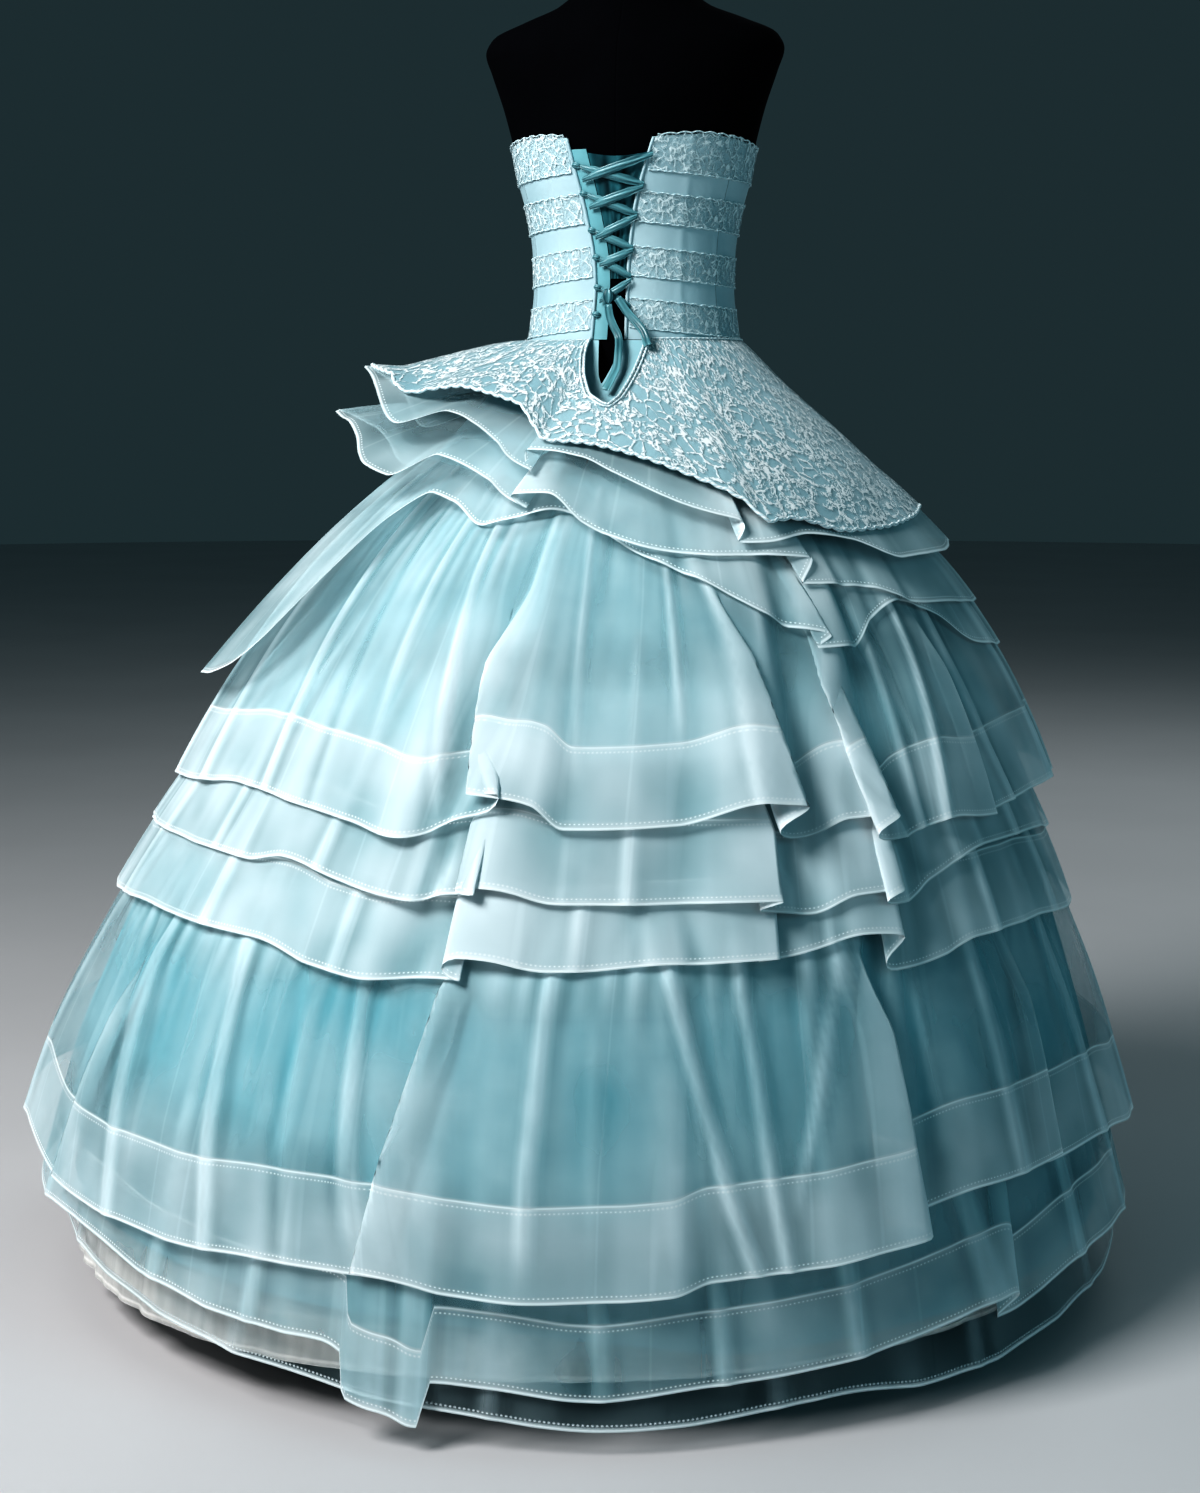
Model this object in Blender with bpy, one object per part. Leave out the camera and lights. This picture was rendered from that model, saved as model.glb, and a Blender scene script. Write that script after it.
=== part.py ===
"""A strapless lace-up ball gown on a limbless dress form, in metres, +Z up.

The gown's centre back, where it laces, faces -Y. Angles run round the body from the
centre back towards +X, in degrees. Below the waist every cloth layer is placed from the
skirt's own surface: a level (the height of a point of that surface) and a lift (how far
the cloth stands off it, square to it). The layers are sewn on it one above the other.
"""

import bmesh
import bpy
import numpy as np

# ---------------------------------------------------------------- driving dimensions
CLOTH = 0.0020  # thickness of a wall of cloth
LACE = 0.0012  # thickness of the corded lace
SEAM = 0.0004  # what two sewn pieces stay apart
EASE = 0.0009  # what the cloth stays clear of the form and of curved neighbours
FOLD_ROOM = 0.0045  # least room between one falling layer and the next
WAIST = 1.034  # height of the waist seam
NECK_TOP = 1.470
HEM_LEAN = (-0.050, -0.040)  # how far the skirt's centre moves by the hem, along X and Y
LEAN_FROM, LEAN_OVER = 0.95, 0.75  # the lean starts at this height, and grows over this much
MIRROR = 12.0  # the hidden half of the skirt mirrors the laced half across this angle + 90
FAR_SIDE = 0.85  # lift of a fold on the hidden half, next to the one it mirrors

# The skirt's own surface: height, half breadth, half depth.
SKIRT = (
    (1.034, 0.1215, 0.098),
    (0.980, 0.160, 0.142),
    (0.920, 0.214, 0.202),
    (0.850, 0.275, 0.270),
    (0.760, 0.339, 0.339),
    (0.660, 0.397, 0.397),
    (0.560, 0.448, 0.448),
    (0.400, 0.515, 0.515),
    (0.250, 0.557, 0.557),
    (0.020, 0.595, 0.595),
)

# The form: height, half breadth, half depth at the back and at the front.
BODY = (
    (0.860, 0.140, 0.100, 0.095),
    (0.875, 0.156, 0.110, 0.104),
    (0.920, 0.158, 0.112, 0.104),
    (0.970, 0.146, 0.105, 0.096),
    (1.034, 0.1180, 0.0945, 0.0945),
    (1.060, 0.1140, 0.0920, 0.0940),
    (1.090, 0.1110, 0.0900, 0.0960),
    (1.130, 0.1120, 0.0900, 0.1040),
    (1.170, 0.1175, 0.0920, 0.1150),
    (1.210, 0.1280, 0.0965, 0.1205),
    (1.245, 0.1350, 0.1000, 0.1180),
    (1.290, 0.1470, 0.1000, 0.1050),
    (1.330, 0.1610, 0.0960, 0.0900),
    (1.352, 0.1680, 0.0900, 0.0800),
    (1.368, 0.1600, 0.0790, 0.0710),
    (1.384, 0.1250, 0.0690, 0.0640),
    (1.400, 0.0850, 0.0610, 0.0590),
    (1.420, 0.0630, 0.0575, 0.0560),
    (NECK_TOP, 0.0560, 0.0550, 0.0540),
)

# Hems of the laced half: angle, level in mm, lift in mm. A row stands at each fold.
TIER_1_HEM = (
    (-78, 541, 32), (-54, 553, 30), (-42, 564, 24), (-28, 555, 30), (-19, 545, 34),
    (-12, 533, 44), (-5, 560, 16), (-3, 575, 44), (3, 567, 40), (7, 549, 30),
    (20, 552, 30), (29, 564, 46), (32, 560, 46), (36, 537, 16), (41, 548, 32),
    (44, 545, 44), (48, 524, 14), (53, 533, 24), (58, 536, 36), (64, 529, 34),
    (72, 537, 26), (80, 538, 38), (90, 536, 50),
)
TIER_2_HEM = (
    (-78, 492, 24), (-48, 501, 26), (-34, 500, 24), (-28, 508, 26), (-19, 495, 28),
    (-12, 484, 34), (-9, 482, 34), (-5, 491, 12), (-3, 489, 30), (0, 496, 34),
    (7, 486, 24), (20, 486, 22), (29, 481, 36), (32, 475, 20), (36, 470, 18),
    (41, 481, 32), (44, 480, 36), (48, 468, 12), (53, 487, 24), (64, 506, 26),
    (80, 501, 34), (90, 490, 24),
)
TIER_3_HEM = (
    (-78, 415, 36), (-48, 434, 28), (-28, 434, 22), (-19, 419, 24), (-12, 412, 28),
    (-5, 419, 14), (-3, 418, 24), (0, 436, 30), (7, 428, 20), (20, 434, 16),
    (29, 433, 26), (32, 433, 14), (36, 439, 15), (41, 446, 28), (44, 440, 32),
    (48, 411, 12), (53, 416, 18), (58, 425, 30), (72, 424, 30), (80, 416, 36),
    (90, 408, 32),
)
LONG_1_HEM = (
    (-78, 180, 62), (-63, 172, 60), (-54, 144, 46), (-42, 142, 34), (-28, 144, 30),
    (-19, 150, 28), (-9, 150, 36), (-5, 153, 24), (0, 142, 26), (7, 138, 34),
    (14, 140, 30), (20, 142, 36), (24, 152, 26), (32, 156, 30), (41, 165, 44),
    (44, 181, 20), (53, 197, 34), (64, 196, 28), (72, 190, 34), (80, 186, 42),
    (90, 170, 50),
)
LONG_2_HEM = (
    (-78, 92, 40), (-63, 104, 36), (-48, 112, 26), (-34, 98, 20), (-19, 86, 20),
    (-12, 84, 22), (-9, 38, 28), (-5, 30, 30), (-3, 24, 30), (0, 62, 22), (3, 58, 20),
    (14, 48, 20),
    (24, 57, 18), (36, 64, 22), (44, 71, 22), (53, 85, 28), (58, 64, 18),
    (72, 86, 28), (90, 76, 34),
)
LONG_3_HEM = (
    (-78, 84, 14), (-58, 80, 8), (-42, 72, 8), (-28, 58, 10), (-12, 44, 12),
    (-3, 36, 16), (3, 30, 14), (14, 20, 18), (24, 24, 13), (36, 30, 11),
    (48, 22, 14), (58, 26, 12), (72, 34, 14), (90, 40, 16),
)
SATIN_SKIRT_HEM = ((-78, 120, 0), (0, 110, 0), (14, 98, 0), (29, 80, 0), (90, 84, 0))
NET_HEM = ((-78, 48, 0), (-42, 44, 0), (3, 58, 0), (14, 60, 0), (90, 60, 0))
FLOUNCE_1_HEM = (
    (-78, 925, 122), (-54, 912, 116), (-42, 884, 92), (-34, 909, 70), (-19, 890, 54),
    (-12, 868, 44), (-9, 888, 40), (0, 883, 40), (7, 869, 40), (20, 839, 41),
    (29, 820, 40), (32, 806, 38), (36, 803, 40), (44, 808, 40), (53, 800, 42),
    (64, 778, 46), (80, 778, 50), (90, 784, 50),
)
FLOUNCE_2_HEM = (
    (-78, 884, 112), (-58, 878, 108), (-48, 874, 84), (-42, 878, 62), (-34, 884, 50),
    (-19, 862, 38), (-12, 843, 26), (-9, 848, 34), (-5, 848, 38), (3, 824, 32),
    (7, 815, 30), (20, 798, 29), (32, 794, 30), (36, 792, 32), (41, 788, 28),
    (44, 766, 26), (53, 761, 28), (64, 740, 34), (80, 730, 40), (90, 724, 40),
)
FLOUNCE_3_HEM = (
    (-78, 646, 56), (-66, 660, 58), (-54, 790, 44), (-48, 838, 34), (-42, 858, 26),
    (-28, 846, 20), (-19, 829, 16), (-12, 834, 20), (-5, 846, 16), (14, 800, 12),
    (36, 730, 13), (41, 712, 15), (44, 703, 18), (48, 704, 20), (53, 728, 24),
    (60, 744, 25), (70, 728, 30), (80, 690, 34), (90, 675, 36),
)
PEPLUM_HEM = (
    (-78, 930, 104), (-58, 930, 98), (-48, 917, 90), (-42, 929, 80), (-34, 936, 72),
    (-19, 930, 56), (-12, 909, 50), (-9, 899, 46), (0, 897, 44), (7, 891, 44),
    (20, 870, 46), (32, 838, 50), (36, 818, 50), (41, 822, 46), (53, 810, 44),
    (64, 812, 42), (80, 820, 38), (90, 826, 36),
)

# The angles where every skirt layer has a column of points: close at steep folds.
FOLD_COLUMNS = (
    -78, -66, -54, -48, -42, -34, -28, -19, -12, -9, -5, -3, 0, 3, 7, 14, 20, 29, 32, 36,
    41, 44, 48, 53, 60, 70, 80, 90, 102,
)
FAR_COLUMNS = (-63, -48, -32, -16, -4, 10, 24, 34, 44, 53, 64, 77, 90)

# The lacing gap at the centre back: height, angle of its left and right edge.
LACING_GAP = ((1.034, -13.5, 5.0), (1.10, -12.5, 6.0), (1.17, -17.0, 9.0), (1.26, -24.5, 18.5))
SIDE_BACK_SEAM = 62.0
FRONT_SEAM = 128.0
SEAM_ANGLE = 0.20  # half of the angle left between two bodice panels
# The neckline: angle from the centre back, height.
NECKLINE = ((0, 1.247), (20, 1.250), (40, 1.253), (62, 1.250), (90, 1.243), (120, 1.241),
            (150, 1.244), (168, 1.240), (180, 1.230))
BAND_HEIGHT = 0.030
BAND_ENDS = (1.4, 3.2)  # angle from the lacing gap's left and right edge to the bands
# Lower edge of each lace band at the centre back, and its room over the curved panels.
BANDS = ((1.0500, 0.0009), (1.1060, 0.0009), (1.1640, 0.0017), (1.2190, 0.0017))
BAND_DROP = 0.012  # how much lower a band lies at the side than at the centre back

# ---------------------------------------------------------------------------- tools
LEVELS = np.array([row[0] for row in SKIRT])[::-1]
BREADTHS = np.array([row[1] for row in SKIRT])[::-1]
DEPTHS = np.array([row[2] for row in SKIRT])[::-1]
TILTS = np.arctan2(-np.gradient(BREADTHS, LEVELS), 1.0)
PART_LEANED = np.clip((LEAN_FROM - LEVELS) / LEAN_OVER, 0, 1)
LEANS = PART_LEANED**2 * (3 - 2 * PART_LEANED)
BODY_ROWS = np.array(BODY)


def all_columns():
    """The angles of the skirt's columns, all round."""
    far = [2 * (MIRROR + 90) - angle for angle in FAR_COLUMNS]
    return np.array(sorted(FOLD_COLUMNS + tuple(far)), float)


COLUMNS = all_columns()


def around(rows, column, angles, far_scale=1.0):
    """A table's column read at these angles. The hidden half mirrors the laced one."""
    near = [(row[0], row[column]) for row in rows]
    far = [(2 * (MIRROR + 90) - row[0], row[column] * far_scale) for row in rows]
    pairs = sorted(near + [pair for pair in far if pair[0] < 360 + near[0][0] - 1])
    places, values = zip(*pairs)
    return np.interp(angles, places, values, period=360)


def skirt_point(angle, level, lift):
    """A point that stands off the skirt's surface by the lift, square to it."""
    tilt = np.interp(level, LEVELS, TILTS)
    lean = np.interp(level, LEVELS, LEANS)
    out = lift * np.cos(tilt)
    turn = np.radians(angle)
    x = HEM_LEAN[0] * lean + (np.interp(level, LEVELS, BREADTHS) + out) * np.sin(turn)
    y = HEM_LEAN[1] * lean - (np.interp(level, LEVELS, DEPTHS) + out) * np.cos(turn)
    return np.stack([x, y, level + lift * np.sin(tilt)], -1)


def body_point(angle, height, out):
    """A point that stands off the form by this much, level with it."""
    turn = np.radians(angle)
    heights = BODY_ROWS[:, 0]
    breadth, back, front = (np.interp(height, heights, BODY_ROWS[:, k]) for k in (1, 2, 3))
    depth = np.where(np.cos(turn) > 0, back, front)
    x = (breadth + out) * np.sin(turn)
    return np.stack([x, -(depth + out) * np.cos(turn), height + 0 * x], -1)


def add_object(name, points, faces, finish):
    """One mesh object with its own material, shaded smooth between its sharp edges."""
    colour, roughness, metallic = finish
    mesh = bpy.data.meshes.new(name)
    mesh.from_pydata([tuple(map(float, point)) for point in points], [], faces)
    mesh.update()
    bm = bmesh.new()
    bm.from_mesh(mesh)
    bmesh.ops.recalc_face_normals(bm, faces=bm.faces)
    if bm.calc_volume(signed=True) < 0:
        bmesh.ops.reverse_faces(bm, faces=bm.faces)
    bm.to_mesh(mesh)
    bm.free()
    mesh.shade_smooth()
    mesh.set_sharp_from_angle(angle=np.radians(50))
    material = bpy.data.materials.new(name)
    material.use_nodes = True
    shader = material.node_tree.nodes["Principled BSDF"]
    shader.inputs["Base Color"].default_value = (*colour, 1.0)
    shader.inputs["Roughness"].default_value = roughness
    shader.inputs["Metallic"].default_value = metallic
    mesh.materials.append(material)
    made = bpy.data.objects.new(name, mesh)
    bpy.context.scene.collection.objects.link(made)
    return made


def grid_faces(rows, columns, start, closed):
    """Triangles over a grid of points, all cut along the same diagonal."""
    faces = []
    for i in range(rows - 1):
        for j in range(columns if closed else columns - 1):
            a = start + i * columns + j
            b = start + i * columns + (j + 1) % columns
            faces += [(a, b, b + columns), (a, b + columns, a + columns)]
    return faces


def strip_faces(first, second, closed):
    """Triangles between two runs of points."""
    faces = []
    for j in range(len(first) if closed else len(first) - 1):
        k = (j + 1) % len(first)
        faces += [(first[j], first[k], second[k]), (first[j], second[k], second[j])]
    return faces


def add_wall(name, inner, outer, closed, finish):
    """A wall of cloth between two grids of points, [row, column, xyz], closed all round."""
    rows, columns = inner.shape[:2]
    size = rows * columns
    points = np.concatenate([inner.reshape(-1, 3), outer.reshape(-1, 3)])
    faces = grid_faces(rows, columns, 0, closed) + grid_faces(rows, columns, size, closed)
    grid = np.arange(size).reshape(rows, columns)
    for edge in (grid[0], grid[-1]):
        faces += strip_faces(list(edge), list(edge + size), closed)
    if not closed:
        for edge in (grid[:, 0], grid[:, -1]):
            faces += strip_faces(list(edge), list(edge + size), False)
    return add_object(name, points, faces, finish)


def add_rod(name, path, sizes, finish, sides=8, up=(0.0, -1.0, 0.0)):
    """A rod along a path, with an oval section: its two half widths, one pair or one a point."""
    path = np.asarray(path, float)
    sizes = np.broadcast_to(np.asarray(sizes, float), (len(path), 2))
    along = np.gradient(path, axis=0)
    along /= np.linalg.norm(along, axis=1, keepdims=True)
    side = np.cross(along, np.asarray(up, float))
    side /= np.linalg.norm(side, axis=1, keepdims=True)
    over = np.cross(side, along)
    turn = np.arange(sides) * 2 * np.pi / sides
    ring = (
        path[:, None]
        + sizes[:, :1, None] * side[:, None] * np.cos(turn)[None, :, None]
        + sizes[:, 1:, None] * over[:, None] * np.sin(turn)[None, :, None]
    )
    faces = grid_faces(len(path), sides, 0, True)
    last = (len(path) - 1) * sides
    faces += [tuple(range(sides)), tuple(range(last, last + sides))]
    return add_object(name, ring.reshape(-1, 3), faces, finish)


def add_turned(name, profile, sides, finish):
    """A round solid, from its outline's radius and height, bottom to top."""
    turn = np.arange(sides) * 2 * np.pi / sides
    ring = np.array([[(r * np.sin(t), -r * np.cos(t), z) for t in turn] for r, z in profile])
    faces = grid_faces(len(profile), sides, 0, True)
    last = (len(profile) - 1) * sides
    faces += [tuple(range(sides)), tuple(range(last, last + sides))]
    return add_object(name, ring.reshape(-1, 3), faces, finish)


for old in list(bpy.data.objects):
    bpy.data.objects.remove(old)

# -------------------------------------------------------------------------- finishes
BLACK_CLOTH = ((0.012, 0.013, 0.016), 0.85, 0.0)
BLACK_METAL = ((0.02, 0.02, 0.022), 0.4, 0.8)
SATIN = ((0.36, 0.62, 0.66), 0.35, 0.0)
TULLE = ((0.47, 0.72, 0.76), 0.55, 0.0)
PALE_TULLE = ((0.60, 0.80, 0.83), 0.55, 0.0)
WHITE_NET = ((0.74, 0.76, 0.74), 0.7, 0.0)
WHITE_LACE = ((0.78, 0.88, 0.90), 0.6, 0.0)
DARK_RIBBON = ((0.07, 0.27, 0.31), 0.3, 0.0)


# ------------------------------------------------------------------- form and stand
BODY_SIDES = 28


def add_form():
    """The limbless torso, its pole and its round base."""
    angles = np.arange(BODY_SIDES) * 360 / BODY_SIDES
    rings = np.array([body_point(angles, row[0], 0.0) for row in BODY])
    faces = grid_faces(len(BODY), BODY_SIDES, 0, True)
    last = (len(BODY) - 1) * BODY_SIDES
    faces += [tuple(range(BODY_SIDES)), tuple(range(last, last + BODY_SIDES))]
    add_object("form_torso", rings.reshape(-1, 3), faces, BLACK_CLOTH)
    add_turned("form_pole", ((0.016, 0.0403), (0.016, 0.8597)), 20, BLACK_METAL)
    base = ((0.198, 0.0), (0.200, 0.002), (0.200, 0.010), (0.190, 0.014), (0.060, 0.020),
            (0.030, 0.026), (0.022, 0.040))
    add_turned("form_base", base, 32, BLACK_METAL)


# --------------------------------------------------------------------- skirt layers
FINE_STEP = 0.002  # spacing of the heights at which a stack keeps its reach
PARTS_BETWEEN = 12  # places between two rows at which a layer is held clear
QUICK_ROOM = 1.5  # how fast the room between two layers opens below their seams
EDGE_REACH = 0.004  # how far past its edges a layer still holds the next one off


class Stack:
    """The outer reach of the layers so far: a lift for each column and fine level."""

    def __init__(self):
        self.levels = np.arange(0.0, WAIST + FINE_STEP, FINE_STEP)
        self.reach = np.full((len(COLUMNS), len(self.levels)), -1.0)

    def clear(self, levels, lifts, seam):
        """Raises each column's lifts until the wall between two levels clears the stack."""
        lifts = lifts.copy()
        beside = np.maximum(np.roll(self.reach, 1, 0), np.roll(self.reach, -1, 0))
        reach = np.maximum(self.reach, (self.reach + beside) / 2)
        for i in range(len(levels) - 1):
            for j in range(len(COLUMNS)):
                for part in np.linspace(0, 1, PARTS_BETWEEN + 1)[1:]:
                    level = levels[i, j] + part * (levels[i + 1, j] - levels[i, j])
                    lift = lifts[i, j] + part * (lifts[i + 1, j] - lifts[i, j])
                    room = seam + (FOLD_ROOM - seam) * min(1.0, (i + part) * QUICK_ROOM)
                    near = reach[j] if i else self.reach[j]
                    need = np.interp(level, self.levels, near) + room - lift
                    if need > 0 and reach[j].max() > 0:
                        lifts[i + 1, j] += need if i else need / part
                        lifts[i, j] += need if i else 0.0
        return lifts

    def add(self, levels, lifts):
        for j in range(len(COLUMNS)):
            low, high = levels[:, j].min(), levels[:, j].max()
            inside = (self.levels >= low - EDGE_REACH) & (self.levels <= high + EDGE_REACH)
            order = np.argsort(levels[:, j])
            lift = np.interp(self.levels[inside], levels[order, j], lifts[order, j])
            self.reach[j, inside] = np.maximum(self.reach[j, inside], lift)


def layer_grid(stack, top, hem, rows, growth, puff=0.0):
    """(levels, lifts) of a layer's inner side, [row, column], from its top seam to its hem.

    The lift grows from the seam to the hem's own lift by a power of the way down, and a
    puff adds to it in between. Rows stand at parts of the way down, or at heights where
    the skirt's own surface turns, between the seam and the hem.
    """
    hem_levels = around(hem, 1, COLUMNS) / 1000
    hem_lifts = around(hem, 2, COLUMNS, FAR_SIDE) / 1000
    top_levels = around(top, 1, COLUMNS) / 1000
    if rows == LONG_ROWS:
        between = [np.full(len(COLUMNS), height) for height in rows]
        levels = np.array([top_levels] + between + [hem_levels])
        parts = (top_levels - levels) / (top_levels - hem_levels)
    else:
        parts = np.array(rows)[:, None]
        levels = top_levels + parts * (hem_levels - top_levels)
    lifts = SEAM + hem_lifts * parts**growth + puff * np.sin(np.pi * parts)
    return levels, stack.clear(levels, lifts, SEAM)


def add_layer(stack, name, top, hem, rows, growth, finish, puff=0.0):
    """One gathered layer of the skirt, as a wall all round."""
    levels, lifts = layer_grid(stack, top, hem, rows, growth, puff)
    inner = skirt_point(COLUMNS, levels, lifts)
    outer = skirt_point(COLUMNS, levels, lifts + CLOTH)
    stack.add(levels, lifts + CLOTH)
    add_wall(name, inner, outer, True, finish)
    return outer


def level_top(height):
    """A top seam that runs level, as a table."""
    return ((-78, height), (102, height))


THREE_ROWS = (0.0, 0.35, 0.70, 1.0)
TWO_ROWS = (0.0, 0.5, 1.0)
LONG_ROWS = (0.400, 0.250)
# Name, top seam, hem, rows, growth of the folds, finish, puff: from the inside out.
LAYERS = (
    ("long_net_layer_3", level_top(470), LONG_3_HEM, LONG_ROWS, 1.4, WHITE_NET, 0.0),
    ("long_tulle_layer_2", level_top(514), LONG_2_HEM, LONG_ROWS, 1.3, TULLE, 0.0),
    ("long_tulle_layer_1", level_top(556), LONG_1_HEM, LONG_ROWS, 1.2, PALE_TULLE, 0.004),
    ("tulle_tier_3", level_top(690), TIER_3_HEM, THREE_ROWS, 1.1, TULLE, 0.004),
    ("tulle_tier_2", level_top(740), TIER_2_HEM, THREE_ROWS, 1.1, PALE_TULLE, 0.006),
    ("tulle_tier_1", ((-78, 905), (0, 880), (102, 850)), TIER_1_HEM, THREE_ROWS, 1.0,
     PALE_TULLE, 0.014),
    ("organza_flounce_3", ((-78, 930), (0, 915), (102, 882)), FLOUNCE_3_HEM, TWO_ROWS, 0.9,
     TULLE, 0.0),
    ("organza_flounce_2", ((-78, 960), (0, 945), (102, 915)), FLOUNCE_2_HEM, TWO_ROWS, 0.8,
     PALE_TULLE, 0.0),
    ("organza_flounce_1", ((-78, 990), (0, 975), (102, 950)), FLOUNCE_1_HEM, TWO_ROWS, 0.8,
     PALE_TULLE, 0.0),
)
PEPLUM_TOP = 1.0335
PEPLUM_ROWS = (0.0, 0.25, 0.5, 0.75, 1.0)
# The V notch in the peplum's top and the slit in the satin skirt's: angle, part of its depth.
NOTCH = ((-15, 0.0), (-12, 0.30), (-9, 0.55), (-5, 0.78), (0, 0.95), (3, 1.0), (7, 0.80),
         (14, 0.25), (18, 0.0))
NOTCH_DEPTH = 0.078
SLIT = ((-9, 0.0), (-5, 0.8), (-3, 1.0), (0, 0.6), (3, 0.0))
SLIT_DEPTH = 0.048
PEPLUM_GROWTH = 0.8
NET_ROOM = 0.004  # how far inside the satin skirt the petticoat's hem hangs


def dip(rows, depth):
    """How far each column's top edge drops for a notch or a slit."""
    places, parts = zip(*rows)
    return depth * np.interp(COLUMNS, places, parts, left=0.0, right=0.0)


def add_satin_skirt(stack):
    """The satin underskirt on which every layer is sewn, and the net petticoat in it."""
    hem = around(SATIN_SKIRT_HEM, 1, COLUMNS) / 1000
    rows = [row[0] for row in SKIRT[:-1]]
    levels = np.array([np.full(len(COLUMNS), height) for height in rows] + [hem])
    levels[0] -= dip(SLIT, SLIT_DEPTH)
    add_wall("satin_underskirt", skirt_point(COLUMNS, levels, -CLOTH),
             skirt_point(COLUMNS, levels, 0.0), True, SATIN)
    stack.add(levels, np.zeros_like(levels))
    hem = around(NET_HEM, 1, COLUMNS) / 1000
    levels = np.array([np.full(len(COLUMNS), height) for height in LONG_ROWS] + [hem])
    lifts = -CLOTH - np.array([SEAM, SEAM, NET_ROOM])[:, None]
    add_wall("net_petticoat", skirt_point(COLUMNS, levels, lifts - CLOTH),
             skirt_point(COLUMNS, levels, lifts), True, WHITE_NET)


def add_peplum(stack):
    """The satin peplum, closed all round, with the V notch at the centre back of its top."""
    parts = np.array(PEPLUM_ROWS)[:, None]
    hem = around(PEPLUM_HEM, 1, COLUMNS) / 1000
    top = PEPLUM_TOP - dip(NOTCH, NOTCH_DEPTH)
    levels = top + parts * (hem - top)
    way = (PEPLUM_TOP - levels) / (PEPLUM_TOP - hem)
    lifts = SEAM + around(PEPLUM_HEM, 2, COLUMNS, FAR_SIDE) / 1000 * way**PEPLUM_GROWTH
    lifts = stack.clear(levels, lifts, SEAM)
    inner = skirt_point(COLUMNS, levels, lifts)
    outer = skirt_point(COLUMNS, levels, lifts + CLOTH)
    add_wall("peplum_satin", inner, outer, True, SATIN)
    over = skirt_point(COLUMNS, levels, lifts + CLOTH + EASE)
    above = skirt_point(COLUMNS, levels, lifts + CLOTH + EASE + LACE)
    return over, above


GAP_SHARE = 0.62  # size of a gap, next to its cell
GAP_WANDER = 0.10  # how far a gap's centre strays from its cell's
LEAST_CELL = 0.012  # a cell narrower than this has no gap
END_GAP = 0.5 * SEAM  # how far the two halves' ends are drawn back from each other
NOTCH_ANGLE = 3  # the two halves of the lace meet at the foot of the notch


def on_cell(grid, row, column, x, y):
    """A point at parts x and y of a grid's cell, on the two triangles it is made of."""
    first, right = grid[row, column], grid[row, column + 1]
    below, corner = grid[row + 1, column], grid[row + 1, column + 1]
    x, y = x[..., None], y[..., None]
    upper = first + x * (right - first) + y * (corner - right)
    lower = first + y * (below - first) + x * (corner - below)
    return np.where(x >= y, upper, lower)


def add_lace_half(name, grids, columns):
    """Half of the peplum's corded lace: a net of cells, most with a gap cut through it.

    The net's knots follow the satin's own points, moved out, so every cell lies on one
    of its facets. The rows by the waist and the narrow cells by the notch stay whole.
    """
    rows, cells = grids[0].shape[0] - 1, len(columns) - 1
    knot = np.arange((rows + 1) * (cells + 1)).reshape(rows + 1, cells + 1)
    down, across = np.meshgrid(np.arange(rows), np.arange(cells), indexing="ij")
    wander_x = 0.5 + GAP_WANDER * np.sin(2.4 * across + 1.9 * down)
    wander_y = 0.5 + GAP_WANDER * np.sin(3.7 * across + 2.3 * down)
    sides = []
    for whole_grid in grids:
        grid = whole_grid[:, columns].copy()
        for end, beside in ((0, 1), (-1, -2)):
            back = grid[:, beside] - grid[:, end]
            grid[:, end] += END_GAP * back / np.linalg.norm(back, axis=1, keepdims=True)
        points = [grid.reshape(-1, 3)]
        for dy, dx in ((0, 0), (0, 1), (1, 1), (1, 0)):
            x = wander_x + GAP_SHARE * (dx - wander_x)
            y = wander_y + GAP_SHARE * (dy - wander_y)
            cell = on_cell(grid, down, across, x, y)
            points.append(cell.reshape(-1, 3))
        sides.append(np.concatenate(points))
    total = len(sides[0])
    widths = np.linalg.norm(np.diff(sides[0][: knot.size].reshape(rows + 1, -1, 3), axis=1),
                            axis=2)
    faces = []
    for i in range(rows):
        for j in range(cells):
            knots = [knot[i, j], knot[i, j + 1], knot[i + 1, j + 1], knot[i + 1, j]]
            gap = [knot.size + corner * rows * cells + i * cells + j for corner in range(4)]
            whole = i == 0 or widths[i, j] < LEAST_CELL
            for side in (0, total):
                outer = [point + side for point in knots]
                if whole:
                    faces += [tuple(outer[:3]), (outer[0], outer[2], outer[3])]
                else:
                    faces += strip_faces(outer, [point + side for point in gap], True)
            if not whole:
                faces += strip_faces(gap, [point + total for point in gap], True)
    for edge in (knot[0], knot[-1], knot[:, 0], knot[:, -1]):
        faces += strip_faces(list(edge), list(edge + total), False)
    points = np.concatenate(sides)
    used = sorted({int(point) for face in faces for point in face})
    place = {point: index for index, point in enumerate(used)}
    faces = [tuple(place[int(point)] for point in face) for face in faces]
    add_object(name, points[used], faces, WHITE_LACE)


def add_skirt():
    """Every layer below the waist, from the inside out."""
    stack = Stack()
    add_satin_skirt(stack)
    for name, top, hem, rows, growth, finish, puff in LAYERS:
        add_layer(stack, name, top, hem, rows, growth, finish, puff)
    grids = add_peplum(stack)
    back = int(np.argmin(np.abs(COLUMNS - NOTCH_ANGLE)))
    front = int(np.argmin(np.abs(COLUMNS - 180)))
    count = len(COLUMNS)
    right = list(range(back, front))
    left = [column % count for column in range(front, back + count)]
    add_lace_half("peplum_lace_right", grids, right + [front])
    add_lace_half("peplum_lace_left", grids, left + [back])


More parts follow.
